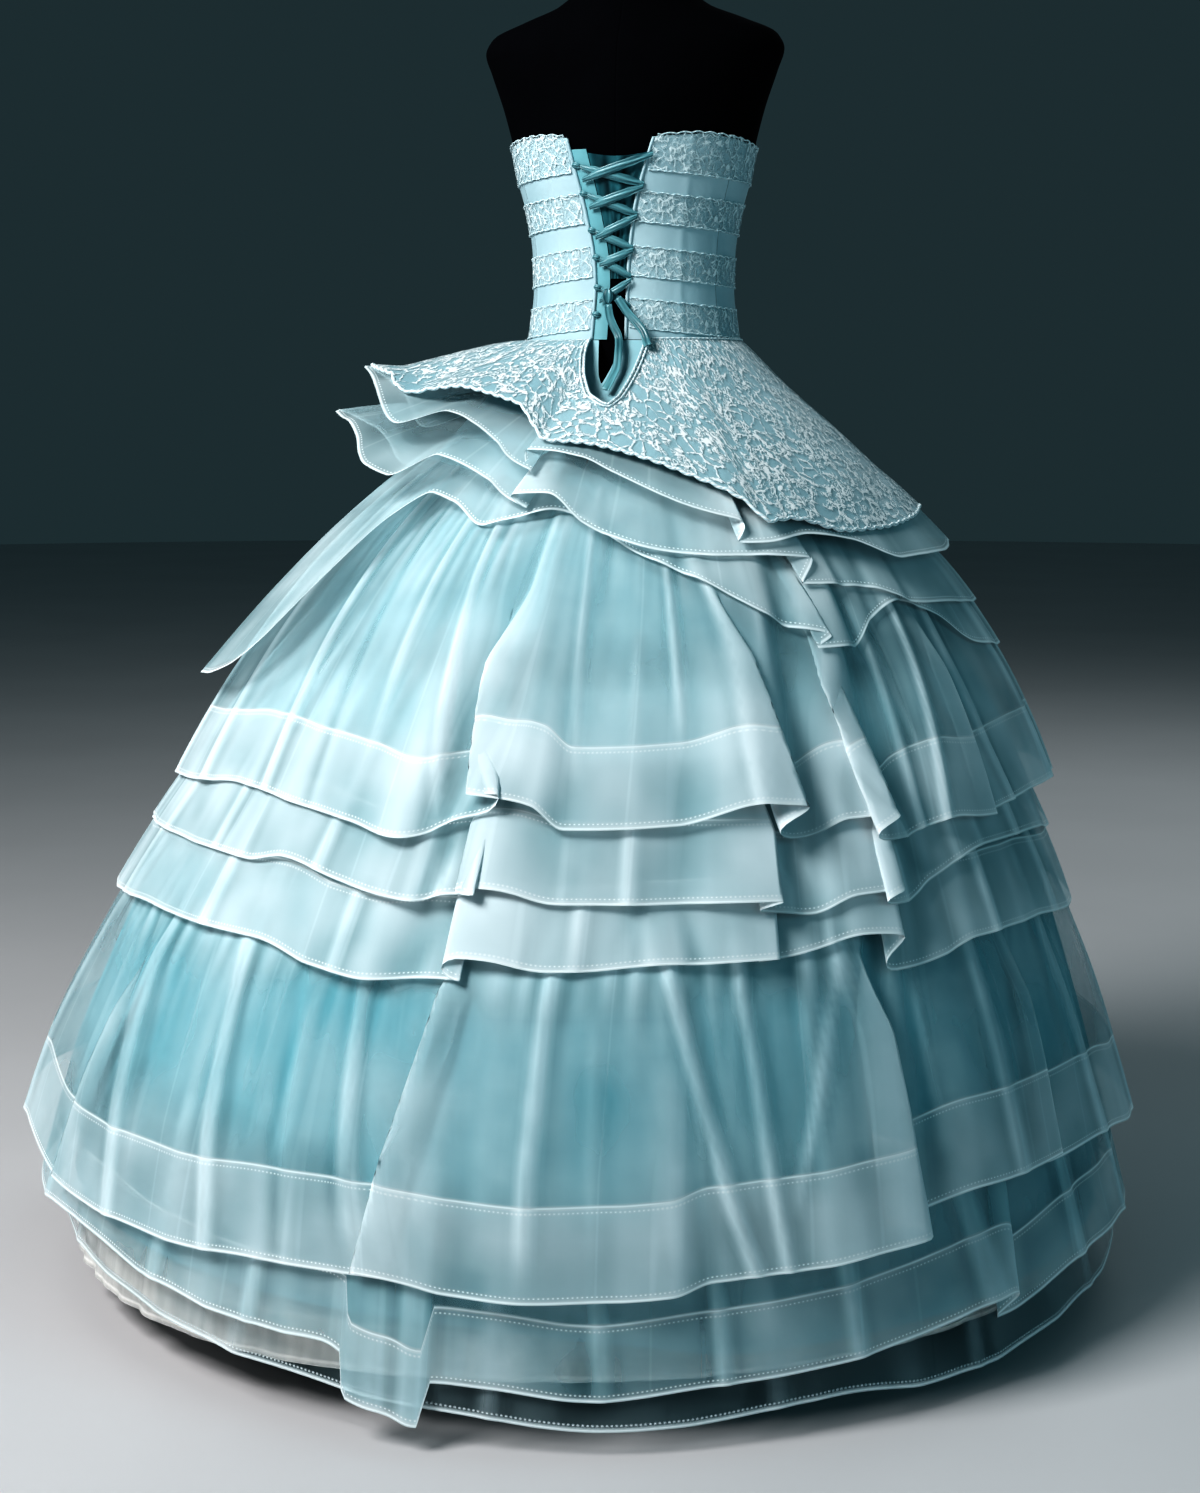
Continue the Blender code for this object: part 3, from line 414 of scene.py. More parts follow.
class Stack:
    """How far off the skirt the layers reach so far, for each angle and level."""

    def __init__(self):
        self.turns, self.step = 720, 0.0025
        self.reach = np.full((self.turns, 424), -1.0)

    def places(self, angles, levels):
        return (angles - FIRST) % 360 * (self.turns / 360), np.clip(levels, 0, 1.05) / self.step

    def read(self, angles, levels):
        """The reach at these places, between the four nearest that are kept."""
        wide = np.maximum(self.reach, np.maximum(np.roll(self.reach, 1, 0),
                                                 np.roll(self.reach, -1, 0)))
        a, b = self.places(angles, levels)
        i, j = np.floor(a).astype(int), np.floor(b).astype(int)
        fa, fb = a - i, b - j
        near, far = (wide[k % self.turns, j] * (1 - fb) + wide[k % self.turns, j + 1] * fb
                     for k in (i, i + 1))
        return near * (1 - fa) + far * fa

    def settle(self, angles, levels, lifts, room):
        """The lifts, raised where the layer would be nearer than the room to what is under
        it. The raise is spread to its neighbours and smoothed, as cloth would bridge it."""
        raised = np.clip(self.read(angles, levels) + room - lifts, 0, None)
        raised[self.read(angles, levels) < -0.5] = 0
        for _ in range(2):
            raised = np.maximum(raised, np.maximum(np.roll(raised, 1, 1), np.roll(raised, -1, 1)))
        for _ in range(2):
            raised = (np.roll(raised, 1, 1) + np.roll(raised, -1, 1) + 2 * raised) / 4
            raised[1:-1] = (raised[:-2] + raised[2:] + 2 * raised[1:-1]) / 4
        return lifts + raised

    def add(self, angles, levels, lifts):
        grids = [np.concatenate([g, g[:, :1] + wrap], 1) for g, wrap in
                 ((np.broadcast_to(angles, lifts.shape), 360), (levels, 0), (lifts, 0))]
        for axis, parts in ((0, 8), (1, 3)):
            count = grids[0].shape[axis]
            fine = np.linspace(0, count - 1, (count - 1) * parts + 1)
            k = np.minimum(fine.astype(int), count - 2)
            part = np.expand_dims(fine - k, 1 - axis)
            grids = [np.take(g, k, axis) * (1 - part) + np.take(g, k + 1, axis) * part
                     for g in grids]
        a, b = self.places(grids[0], grids[1])
        np.maximum.at(self.reach, (a.astype(int) % self.turns, b.astype(int)), grids[2])


def satin_finish(name, deep, pale, sheen):
    """Smooth satin: soft cloudy colour, low creases and a soft sheen."""
    finish = Finish(name, Roughness=0.42, Sheen_Weight=sheen, Sheen_Roughness=0.35)
    cloud = finish.noise(finish.place((1, 1, 0.5)), 9.0, 1.0)
    finish.set("Base Color", finish.mix(deep, pale, ((cloud - 0.5) * 1.6 + 0.5).held()))
    finish.set("Roughness", 0.34 + cloud * 0.16)
    finish.relief(finish.noise(finish.place((1, 1, 0.6)), 38.0, 1.0), 0.0015, 0.5)
    return finish


def pleats(rows, part):
    """(swing, rise) of knife pleats: the cloth runs on past each pleat's line, turns back
    and runs on again, by the slope of a bell curve, and rises across it."""
    swing, rise = 0.0, 0.0
    for at_top, at_hem, half, overlap, height, start in rows:
        middle = at_top + (at_hem - at_top) * part
        x = ((TURN - middle + 180) % 360 - 180) / half
        grow = np.clip((part - start) / 0.25, 0, 1)
        swing = swing - overlap * 1.65 * x * np.exp(-x * x / 2) * grow
        rise = rise + height / 1000 * np.tanh(1.5 * x) * np.exp(-x * x / 14) * grow
    return swing, rise


def ridges(rows, part):
    """Creases given one by one: each is a soft ridge, or a trough where its height is less than
    nil, from an angle at the top to one at the hem. Its height falls off by the power of
    -1.5 of 1 and twice the square of the way across. One with a start and end dies out there."""
    total = 0.0
    for at_top, at_hem, half, height, *ends in rows:
        start, end = ends or (-0.2, 1.3)
        middle = at_top + (at_hem - at_top) * part
        x = ((TURN - middle + 180) % 360 - 180) / half
        here = np.clip((part - start) / 0.2, 0, 1) * np.clip((end - part) / 0.2, 0, 1)
        total = total + height / 1600 * here / (1 + x * x * 2) ** 1.5
    return total


def clouds(points, size):
    """Soft patches of this size in metres and of its half and quarter, from 0 to 1: random
    lots at the corners of cubes in space, blended between them."""
    total = 0.0
    for octave in range(3):
        place = points * 2**octave / size
        low = np.floor(place)
        part = (place - low) ** 2 * (3 - 2 * (place - low))
        blend = 0.0
        for corner in range(8):
            step = np.array([corner & 1, corner >> 1 & 1, corner >> 2])
            lot = np.sin((low + step) @ (127.1, 311.7, 74.7)) * 43758.5453
            share = np.prod(np.where(step == 1, part, 1 - part), axis=-1)
            blend = blend + share * (lot - np.floor(lot))
        total = total + blend / 2**octave
    return total / 1.75


CLEAR = 0.0042  # between one skirt layer and the next
SHEER = 9.0  # a height that no layer reaches: sheer all the way up


def fall_layer(top, hem, rows, growth, wave, puff=0.0, hem_wave=0.0, folds=(), creases=(),
               gather=0.0, sheer_to=SHEER):
    """(points, marks) of one layer of the skirt, [row, column].

    It falls from its top seam to its hem. Its lift grows by a power of the way down, a puff
    adds to it in between, and waves and pleats are laid over it. It is settled on what is
    under it. Its marks say how much paler and closer it looks where a fold crests or turns
    edge-on, and how cloudy it is. Higher over its hem than sheer_to, where it is hidden, it
    closes up, and it thins again at its top seam."""
    part = np.linspace(0, 1, rows)[:, None]
    top_level = around(top, 1, TURN) / 1000
    hem_level = around(hem, 1, TURN) / 1000
    level = top_level + part * (hem_level - top_level)
    lift = SEAM + around(hem, 2, TURN, FAR_SIDE) / 1000 * part**growth
    lift = lift + puff * np.sin(np.pi * part)
    counts, seed, size, grow = wave
    gathers = ripple(TURN, counts, seed)
    lift = lift + size * (1 + gathers) * part**grow
    level = level - hem_wave * size / 0.004 * gathers * part
    pinch = ripple(TURN, (67, 97, 133), top[0][1])
    lift = lift + gather * (1 + pinch) * np.sin(np.pi * np.clip(part * 2.2, 0, 1)) * (1 - part)
    all_folds, all_creases = (
        [*table, *((2 * FAR_FOLD - a, 2 * FAR_FOLD - b, *rest) for a, b, *rest in table)]
        for table in (folds, creases)
    )
    swing, rise = pleats(all_folds, part)
    lift = lift + ridges(all_creases, part)
    angle = TURN + np.broadcast_to(swing, lift.shape)
    room = CLEAR * np.minimum(1, 3 * part)
    lift = stack.settle(angle, level, np.maximum(lift + rise, SEAM), room)
    stack.add(angle, level, lift)
    points = skirt_point(angle, level, lift)
    run = np.maximum(np.abs(np.gradient(angle, axis=1)) * 0.008, 4e-4)
    steep = np.clip(np.abs(np.gradient(lift, axis=1) / run), 0, 1)
    wide, close = ((np.roll(lift, way, 1) + np.roll(lift, -way, 1)) / 2 for way in (11, 3))
    crest, fold = np.clip((lift - wide) / 0.010, -1, 1), np.clip((lift - close) / 0.0016, -1, 1)
    under_top = np.clip((top_level - level) / 0.09, 0, 1)
    closed = np.clip((level - hem_level - sheer_to) / 0.09, 0, 1) * under_top
    if sheer_to < SHEER:
        closed = closed + (under_top - 1) * 0.45
    # The pale mark paints light into the colour: fold crests paler as painted highlights, troughs
    # darker as painted shade, and sides turned edge-on paler, partly for the cloth seen doubled
    # there and partly as painted sheen.
    marks = {
        "pale": crest * 0.22 + fold * 0.22 + steep * 0.18,
        "cover": np.clip(crest, 0, 1) * 0.12 + fold * 0.14 + steep * 0.30 + closed,
        "cloud": (clouds(points, 0.08) - 0.5) * 3.4,
    }
    return points, marks


def sew(name, node, slot, points, finish, flat, held, on="underskirt_cloth", closed=False,
        marks=None, **more):
    """A sheet of cloth from its grid of points, put in a node's place, whose part it hides."""
    cloth = grid_mesh(name, points, finish, closed, cut_of(points, closed), marks)
    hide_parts(node)


stack = Stack()
SATIN_HEM = ((-78, 120, 0), (0, 110, 0), (14, 98, 0), (29, 80, 0), (90, 84, 0))
SLIT = ((-9, 0.0), (-5, 0.8), (-3, 1.0), (0, 0.6), (3, 0.0))
SLIT_DEPTH = 0.048

teal_satin = satin_finish("teal_satin", (0.27, 0.50, 0.56), (0.46, 0.70, 0.75), 0.1)
drop = (np.linspace(0, 1, 40) ** 0.9)[:, None]
slit = SLIT_DEPTH * np.interp(TURN, *zip(*SLIT), left=0, right=0)
satin_top = WAIST - slit
satin_hem = around(SATIN_HEM, 1, TURN) / 1000
satin_level = satin_top + drop * (satin_hem - satin_top)
satin_lift = 0.0035 * (1 + ripple(TURN, (19, 31, 47), 2)) * np.clip(drop * 1.6 - 0.3, 0, 1)
satin_points = skirt_point(TURN, satin_level, satin_lift)
stack.add(TURN, satin_level, satin_lift)
sew("underskirt_cloth", "satin_underskirt", "satin", satin_points, teal_satin, (3.75, 1.12),
    "hung", "form_cover", True, area=2.85)

# ------------------------------------------------------------------------ net petticoat
# Stiff white net gathered to the inside of the underskirt, with tucks, that props the hem.

NET_TOP = 0.400
NET_HEM = ((-78, 48, 0), (-42, 44, 0), (3, 58, 0), (14, 60, 0), (90, 60, 0))

white_net = Finish("white_net", Roughness=0.75, Sheen_Weight=0.3)
net_up = white_net.cut_parts()[1]
tucks = net_up.line(0.045, 0.003).most(net_up.line(0.085, 0.003)).most(net_up.line(0.004, 0.003))
net_noise = white_net.noise(white_net.cut((55, 9, 1)), 1.0, 4.0)
white_net.set("Base Color", white_net.mix((0.55, 0.57, 0.56), (0.86, 0.86, 0.83),
                                          (net_noise * 0.9 + tucks * 0.4).held()))
white_net.set("Alpha", (0.70 + net_noise * 0.3 + tucks * 0.3).held())
white_net.relief(net_noise + tucks, 0.003, 0.5)
net_part = np.linspace(0, 1, 34)[:, None]
net_hem = around(NET_HEM, 1, TURN) / 1000
net_level = NET_TOP + net_part * (net_hem - NET_TOP)
net_lift = -0.0030 - 0.006 * (1 + ripple(TURN, (37, 61, 83), 5)) * net_part
net_points = skirt_point(TURN, net_level, net_lift)
sew("petticoat_net", "net_petticoat", "white_net", net_points, white_net, (3.9, 0.37),
    "gathered", closed=True)

# ---------------------------------------------------------------- long net, long tulle
# Three full-length falls sewn to the underskirt below the tiers: plain net at the bottom,
# then two of sheer tulle, each ended by a wide doubled band of organza.

LONG_3_HEM = (
    (-78, 84, 14), (-58, 80, 8), (-42, 72, 8), (-28, 58, 10), (-12, 44, 12),
    (-3, 36, 16), (3, 30, 14), (14, 20, 18), (24, 24, 13), (36, 30, 11),
    (48, 22, 14), (58, 26, 12), (72, 34, 14), (90, 40, 16),
)
LONG_2_HEM = (
    (-78, 92, 40), (-63, 104, 36), (-48, 112, 26), (-34, 98, 20), (-19, 86, 20),
    (-12, 84, 22), (-9.6, 78, 26), (-9, 38, 28), (-5, 30, 30), (-2, 20, 30), (-1, 60, 24),
    (3, 58, 20), (14, 48, 20),
    (24, 57, 18), (36, 64, 22), (44, 71, 22), (53, 85, 28), (58, 64, 18),
    (72, 86, 28), (90, 76, 34),
)
LONG_1_HEM = (
    (-78, 180, 62), (-63, 172, 60), (-54, 144, 46), (-42, 142, 34), (-28, 144, 30),
    (-19, 150, 28), (-9, 150, 31), (-5, 153, 27), (0, 142, 26), (7, 138, 34),
    (14, 140, 30), (20, 142, 36), (24, 152, 26), (32, 156, 30), (41, 165, 44),
    (44, 181, 20), (53, 197, 34), (64, 196, 28), (72, 190, 34), (80, 186, 42),
    (90, 170, 50),
)
STITCH = 0.0045


def level_top(height):
    """A top seam that runs level, as a table."""
    return ((FIRST, height), (FAR_FOLD, height))


def sheer_finish(name, deep, pale, thin, band=0.0, band_gain=0.3, edge=0.5):
    """Sheer cloth: its cover is thin, and thicker on steep sides and crests of folds, in a
    doubled band at its hem and on the bright turned edges with their small stitches."""
    finish = Finish(name, Roughness=0.6, Specular_IOR_Level=0.0)
    along, up = finish.cut_parts()
    wander = finish.noise(finish.cut((10, 0.7, 1)), 1.0, 1.0)
    streak = (wander - 0.5) * 2
    # Thin bright lines along the fall: painted glints where creases catch the light. They also
    # thicken the cover a little.
    crease_glint = (wander * 26).sine().over(0.975, 0.05)
    cloud = finish.mark("cloud")
    stitch = ((along * (2 * math.pi / STITCH)).sine() * 0.5 + 0.62).held(0.25)
    hem_line = up.line(0.0018, 0.0046).most(up.line(0.0062, 0.0018) * stitch)
    doubled = top_line = 0.0 * up
    if band:
        doubled = 1 - up.over(band, 0.002)
        top_line = up.line(band, 0.0034).most(up.line(band - 0.0050, 0.0018) * stitch)
    lines = hem_line.most(top_line * 0.9)
    streak = streak * (1 - doubled * 0.7)
    # Besides the cloth's own cloudy tone, streaks and doubled band, this part holds painted light:
    # the pale mark's painted highlights, shade and sheen, and the painted glints on crease lines.
    tone_and_painted_light = (finish.mark("pale") + 0.36 + doubled * 0.12 + streak * 0.16 + cloud * 0.22
                 + crease_glint * 0.08)
    tint = finish.mix(deep, pale, tone_and_painted_light.held())
    tint = finish.mix(tint, (0.68, 0.78, 0.81), doubled * (0.34 + cloud * 0.20))
    finish.set("Base Color", finish.mix(tint, (0.92, 0.98, 0.99), (lines * 0.85).held()))
    cover = finish.mark("cover") + thin + doubled * band_gain + crease_glint * 0.05 + cloud * 0.14
    finish.set("Alpha", cover.held(0.05, 1.0).most((lines * edge * 2.0).held(0, 0.97)))
    return finish


thin_net = sheer_finish("thin_net", (0.20, 0.36, 0.40), (0.55, 0.66, 0.70), 0.16)
long_tulle = sheer_finish("long_tulle", (0.32, 0.56, 0.61), (0.66, 0.80, 0.84), 0.36,
                          band=0.088, band_gain=0.20)
second_tulle = sheer_finish("second_tulle", (0.17, 0.45, 0.52), (0.52, 0.74, 0.79), 0.32,
                            band=0.070, band_gain=0.14)


def skirt_layer(name, node, slot, top, hem, rows, growth, finish, flat, area=None, **shape):
    """One layer of the skirt, gathered on to the underskirt."""
    points, marks = fall_layer(top, hem, rows, growth, **shape)
    sew(name, node, slot, points, finish, flat, "gathered", closed=True, marks=marks, area=area)


skirt_layer(
    "lowest_net", "long_net_layer_3", "white_net", level_top(470), LONG_3_HEM, 38, 1.4,
    thin_net, (4.1, 0.475), gather=0.002, sheer_to=0.06, hem_wave=0.003,
    wave=((9, 17, 29), 3, 0.0035, 1.0),
    creases=((-50, -52, 2.0, 5), (-20, -22, 2.0, 4), (5, 4, 1.5, 4, 0.2, 1.3),
             (28, 30, 1.8, 4), (50, 52, 1.6, 5), (72, 74, 2.0, 5)))
skirt_layer(
    "second_long_tulle", "long_tulle_layer_2", "tulle", level_top(514), LONG_2_HEM, 38, 1.3,
    second_tulle, (4.3, 0.495), gather=0.002, sheer_to=0.13, hem_wave=0.003,
    wave=((11, 19, 34), 7, 0.0030, 1.0),
    folds=((60, 56, 2.2, 3.0, -5, 0.3),),
    creases=((-55, -58, 2.0, 6), (-30, -33, 1.6, 5), (-17, -20, 1.2, 5, 0.1, 1.3),
             (-4, -3, 1.2, 4), (12, 14, 1.4, 5, 0.1, 1.3), (22, 25, 1.0, 5, 0.2, 1.3),
             (34, 38, 1.6, 5), (48, 52, 1.3, 6, 0.1, 1.3), (66, 70, 1.6, 6),
             (84, 86, 2.0, 6)))
skirt_layer(
    "first_long_tulle", "long_tulle_layer_1", "tulle", level_top(556), LONG_1_HEM, 38, 1.2,
    long_tulle, (4.6, 0.47), puff=0.006, gather=0.003, sheer_to=0.25, hem_wave=0.002,
    wave=((11, 19, 33), 11, 0.0035, 0.9),
    folds=((0.5, -7.2, 1.8, 3.2, 5, 0.1), (41, 43.5, 2.0, 3.4, -6, 0.25),
           (-44, -52, 2.4, 3.0, 5, 0.3), (66, 66, 2.4, 3.2, -5, 0.3)),
    creases=((-62, -66, 2.0, 7), (-46, -40, 1.6, 6, 0.0, 1.3), (-31, -25, 1.6, 6),
             (-22, -17, 2.2, -5, 0.1, 1.3), (-14, -9.5, 1.0, 5, -0.2, 1.1),
             (-5.5, -3.5, 0.9, 4, 0.1, 1.0), (8, 6.8, 1.2, 5, 0.0, 1.0),
             (16.5, 28, 1.0, 6), (26, 31, 0.9, 5, -0.2, 1.2), (36, 39, 2.2, -5, 0.2, 1.3),
             (42, 30.5, 0.9, 4, 0.1, 0.9), (46.5, 47, 1.4, 6), (57, 59, 1.6, 6, 0.1, 1.3),
             (74, 78, 1.6, 7), (90, 92, 2.0, 7)))

# ---------------------------------------------------------------------- tulle tiers
# Three stepped tiers of tulle, each ended by a wide doubled organza band with a stitched
# edge. They are laid in knife pleats, with one broad box pleat at the centre back.

TIER_3_HEM = (
    (-78, 415, 36), (-48, 434, 28), (-28, 434, 22), (-19, 419, 24), (-12, 412, 28),
    (-5, 419, 14), (-3, 418, 24), (0, 436, 30), (7, 428, 20), (20, 434, 16),
    (29, 433, 26), (32, 433, 14), (36, 439, 15), (41, 446, 28), (44, 440, 32),
    (48, 411, 12), (53, 416, 18), (58, 425, 30), (72, 424, 30), (80, 416, 36),
    (90, 408, 32),
)
TIER_2_HEM = (
    (-78, 492, 24), (-48, 501, 26), (-34, 500, 24), (-28, 508, 26), (-19, 495, 28),
    (-12, 484, 34), (-9, 482, 34), (-5, 491, 12), (-3, 489, 30), (0, 496, 34),
    (7, 486, 24), (20, 486, 22), (29, 481, 36), (32, 475, 20), (36, 470, 18),
    (41, 481, 32), (44, 480, 36), (48, 468, 12), (53, 487, 24), (64, 506, 26),
    (80, 501, 34), (90, 490, 24),
)
TIER_1_HEM = (
    (-78, 541, 32), (-54, 553, 30), (-42, 564, 24), (-28, 555, 30), (-19, 545, 34),
    (-12, 533, 44), (-5, 560, 16), (-3, 575, 44), (3, 567, 40), (7, 549, 30),
    (20, 552, 30), (29, 564, 46), (32, 560, 46), (36, 537, 16), (41, 548, 32),
    (44, 545, 44), (48, 524, 14), (53, 533, 24), (58, 536, 36), (64, 529, 34),
    (72, 537, 26), (80, 538, 38), (90, 536, 50),
)
BAND = 0.084
tier_tulle = sheer_finish("tier_tulle", (0.42, 0.66, 0.71), (0.76, 0.86, 0.89), 0.46,
                          band=BAND, band_gain=0.22)


def box_pleats(overlap):
    """Knife pleats that turn away from the box panel: one at its left, two at its right."""
    return [(at, at + 0.5, 1.6, overlap, height, 0.5)
            for at, height in ((-3, 3), (30, -3), (45, -3))]


skirt_layer(
    "third_tier", "tulle_tier_3", "tulle", level_top(690), TIER_3_HEM, 34, 1.1, tier_tulle,
    (3.76, 0.33), 1.06, puff=0.004, sheer_to=0.09, hem_wave=0.002,
    wave=((17, 31, 45), 21, 0.0018, 0.8),
    folds=box_pleats(2.4),
    creases=((-58, -60, 2.0, 5), (-36, -37, 1.6, 5), (-15, -16, 1.4, 4), (10, 10, 1.5, 4),
             (38, 38, 1.2, 4), (60, 62, 1.5, 6), (76, 77, 1.6, 5)))
skirt_layer(
    "second_tier", "tulle_tier_2", "tulle", level_top(740), TIER_2_HEM, 34, 1.1, tier_tulle,
    (3.62, 0.315), 0.96, puff=0.006, sheer_to=0.09, hem_wave=0.002,
    wave=((15, 28, 41), 31, 0.0018, 0.8),
    folds=box_pleats(2.6),
    creases=((-66, -68, 2.0, 5), (-54, -56, 1.6, 4), (-40, -41, 1.6, 5), (-20, -22, 1.4, 5),
             (14, 15, 1.5, 4), (56, 58, 1.5, 5), (70, 72, 1.6, 6), (88, 90, 2.0, 5)))
skirt_layer(
    "first_tier", "tulle_tier_1", "tulle", ((-78, 905), (0, 880), (102, 850)), TIER_1_HEM,
    34, 1.0, tier_tulle, (3.80, 0.46), 1.30, puff=0.014, gather=0.0018, hem_wave=0.002,
    wave=((13, 22, 35), 41, 0.0022, 0.7),
    folds=((-9, -2.5, 1.5, 3.4, 4, 0.35), (22, 33.5, 1.5, 3.0, -4, 0.30),
           (36, 45.5, 1.5, 3.0, -4, 0.35), (64, 66, 2.0, 2.8, -4, 0.3)),
    creases=((-70, -66, 1.6, 6), (-56, -52, 2.2, 7), (-41.5, -36, 1.4, 7),
             (-33, -27, 2.4, -5, 0.1, 1.3), (-24, -19, 1.2, 4, -0.2, 0.8),
             (-17, -7.5, 1.3, 6), (3.5, 8, 1.2, 4, -0.2, 0.9),
             (17, 21.5, 0.9, 5, -0.2, 0.80), (22, 29.5, 1.3, 5), (50, 53, 1.2, 6),
             (60.5, 56.5, 1.0, 6), (67, 73, 1.4, 7), (84, 88, 2.0, 7), (97, 95, 1.5, 6)))

# ----------------------------------------------------------------- organza flounces
# Three crisp organza frills with raw rolled edges, sewn in a line that climbs to the left
# and sweeps down to the right, so their left ends stand out like a fan.

FLOUNCE_3_HEM = (
    (-78, 632, 62), (-62, 640, 66), (-53, 655, 66), (-47, 684, 66), (-43, 730, 62),
    (-40, 772, 56), (-37, 818, 46), (-33, 850, 32), (-28, 848, 24), (-19, 829, 16),
    (-12, 834, 20), (-5, 846, 16), (14, 800, 12),
    (36, 730, 13), (41, 712, 15), (44, 703, 18), (48, 704, 20), (53, 728, 24),
    (60, 744, 25), (70, 728, 30), (80, 690, 34), (90, 675, 36),
)
FLOUNCE_2_HEM = (
    (-78, 884, 112), (-58, 878, 108), (-50, 866, 98), (-43, 846, 86), (-38, 843, 74),
    (-32, 874, 56), (-19, 862, 38), (-12, 843, 26), (-9, 848, 34), (-5, 848, 38), (3, 824, 32),
    (7, 815, 30), (20, 798, 29), (32, 794, 30), (36, 792, 32), (41, 788, 28),
    (44, 766, 26), (53, 761, 28), (64, 740, 34), (80, 730, 40), (90, 724, 40),
)
FLOUNCE_1_HEM = (
    (-78, 925, 122), (-54, 912, 116), (-42, 884, 92), (-34, 909, 70), (-19, 890, 54),
    (-12, 868, 44), (-9, 888, 40), (0, 883, 40), (7, 869, 40), (20, 839, 41),
    (29, 820, 40), (32, 806, 38), (36, 803, 40), (44, 808, 40), (53, 800, 42),
    (64, 778, 46), (80, 778, 50), (90, 784, 50),
)
organza = sheer_finish("crisp_organza", (0.48, 0.71, 0.76), (0.86, 0.94, 0.96), 0.48,
                       edge=0.55)


skirt_layer(
    "lowest_flounce", "organza_flounce_3", "organza", ((-78, 930), (0, 915), (102, 882)),
    FLOUNCE_3_HEM, 24, 0.75, organza, (2.55, 0.30), 0.44, sheer_to=0.19, hem_wave=0.004,
    wave=((11, 19, 29), 51, 0.003, 0.8), folds=((34, 42, 2.0, 3.0, -4, 0.3),))
skirt_layer(
    "middle_flounce", "organza_flounce_2", "organza", ((-78, 960), (0, 945), (102, 915)),
    FLOUNCE_2_HEM, 24, 0.8, organza, (2.45, 0.25), 0.39, sheer_to=0.06, hem_wave=0.003,
    wave=((9, 17, 26), 61, 0.003, 0.8),
    folds=((-8, -11, 2.0, 3.2, 4, 0.3), (34, 42.5, 2.0, 3.4, -5, 0.3)))
skirt_layer(
    "upper_flounce", "organza_flounce_1", "organza", ((-78, 990), (0, 975), (102, 950)),
    FLOUNCE_1_HEM, 24, 0.8, organza, (2.35, 0.25), 0.35, sheer_to=0.06, hem_wave=0.003,
    wave=((9, 16, 25), 71, 0.003, 0.8),
    folds=((-10, -11, 2.0, 3.2, 4, 0.3), (26, 31, 2.0, 2.2, -4, 0.4)))

# ---------------------------------------------------------- peplum and its corded lace
# A short satin overskirt, cut with a V notch under the lacing and long at the right, and
# over it corded floral lace in two halves, whose cord runs along every cut edge.

PEPLUM_TOP = 1.0342
PEPLUM_HEM = (
    (-78, 930, 104), (-58, 930, 98), (-48, 917, 90), (-42, 929, 80), (-34, 936, 72),
    (-19, 930, 56), (-12, 909, 50), (-9, 899, 46), (0, 897, 44), (7, 891, 44),
    (20, 870, 46), (32, 838, 50), (36, 818, 50), (41, 822, 46), (53, 810, 44),
    (64, 812, 42), (80, 820, 38), (90, 826, 36),
)
NOTCH = ((-13, 0.0), (-10.5, 0.30), (-7, 0.58), (-2.5, 0.86), (2, 0.98), (3.5, 1.0),
         (6, 0.88), (9.5, 0.55), (13, 0.20), (15.5, 0.0))
NOTCH_DEPTH = 0.092
LACE_LOOP = 0.0062

peplum_part = np.linspace(0, 1, 44)[:, None]
peplum_hem = around(PEPLUM_HEM, 1, TURN) / 1000
peplum_top = PEPLUM_TOP - NOTCH_DEPTH * np.interp(TURN, *zip(*NOTCH), left=0, right=0)
peplum_level = peplum_top + peplum_part * (peplum_hem - peplum_top)
peplum_way = (PEPLUM_TOP - peplum_level) / (PEPLUM_TOP - peplum_hem)
peplum_lift = SEAM + around(PEPLUM_HEM, 2, TURN, FAR_SIDE) / 1000 * peplum_way**0.8
peplum_lift = peplum_lift + 0.0015 * (1 + ripple(TURN, (9, 16, 27), 81)) * peplum_way
peplum_lift = stack.settle(TURN + 0 * peplum_lift, peplum_level, peplum_lift, 0.002)
peplum_points = skirt_point(TURN, peplum_level, peplum_lift)
stack.add(TURN, peplum_level, peplum_lift)
pale_satin = satin_finish("pale_satin", (0.36, 0.57, 0.63), (0.48, 0.68, 0.73), 0.1)
sew("peplum_cloth", "peplum_satin", "satin", peplum_points, pale_satin, (2.05, 0.31),
    "draped", closed=True, area=0.32)


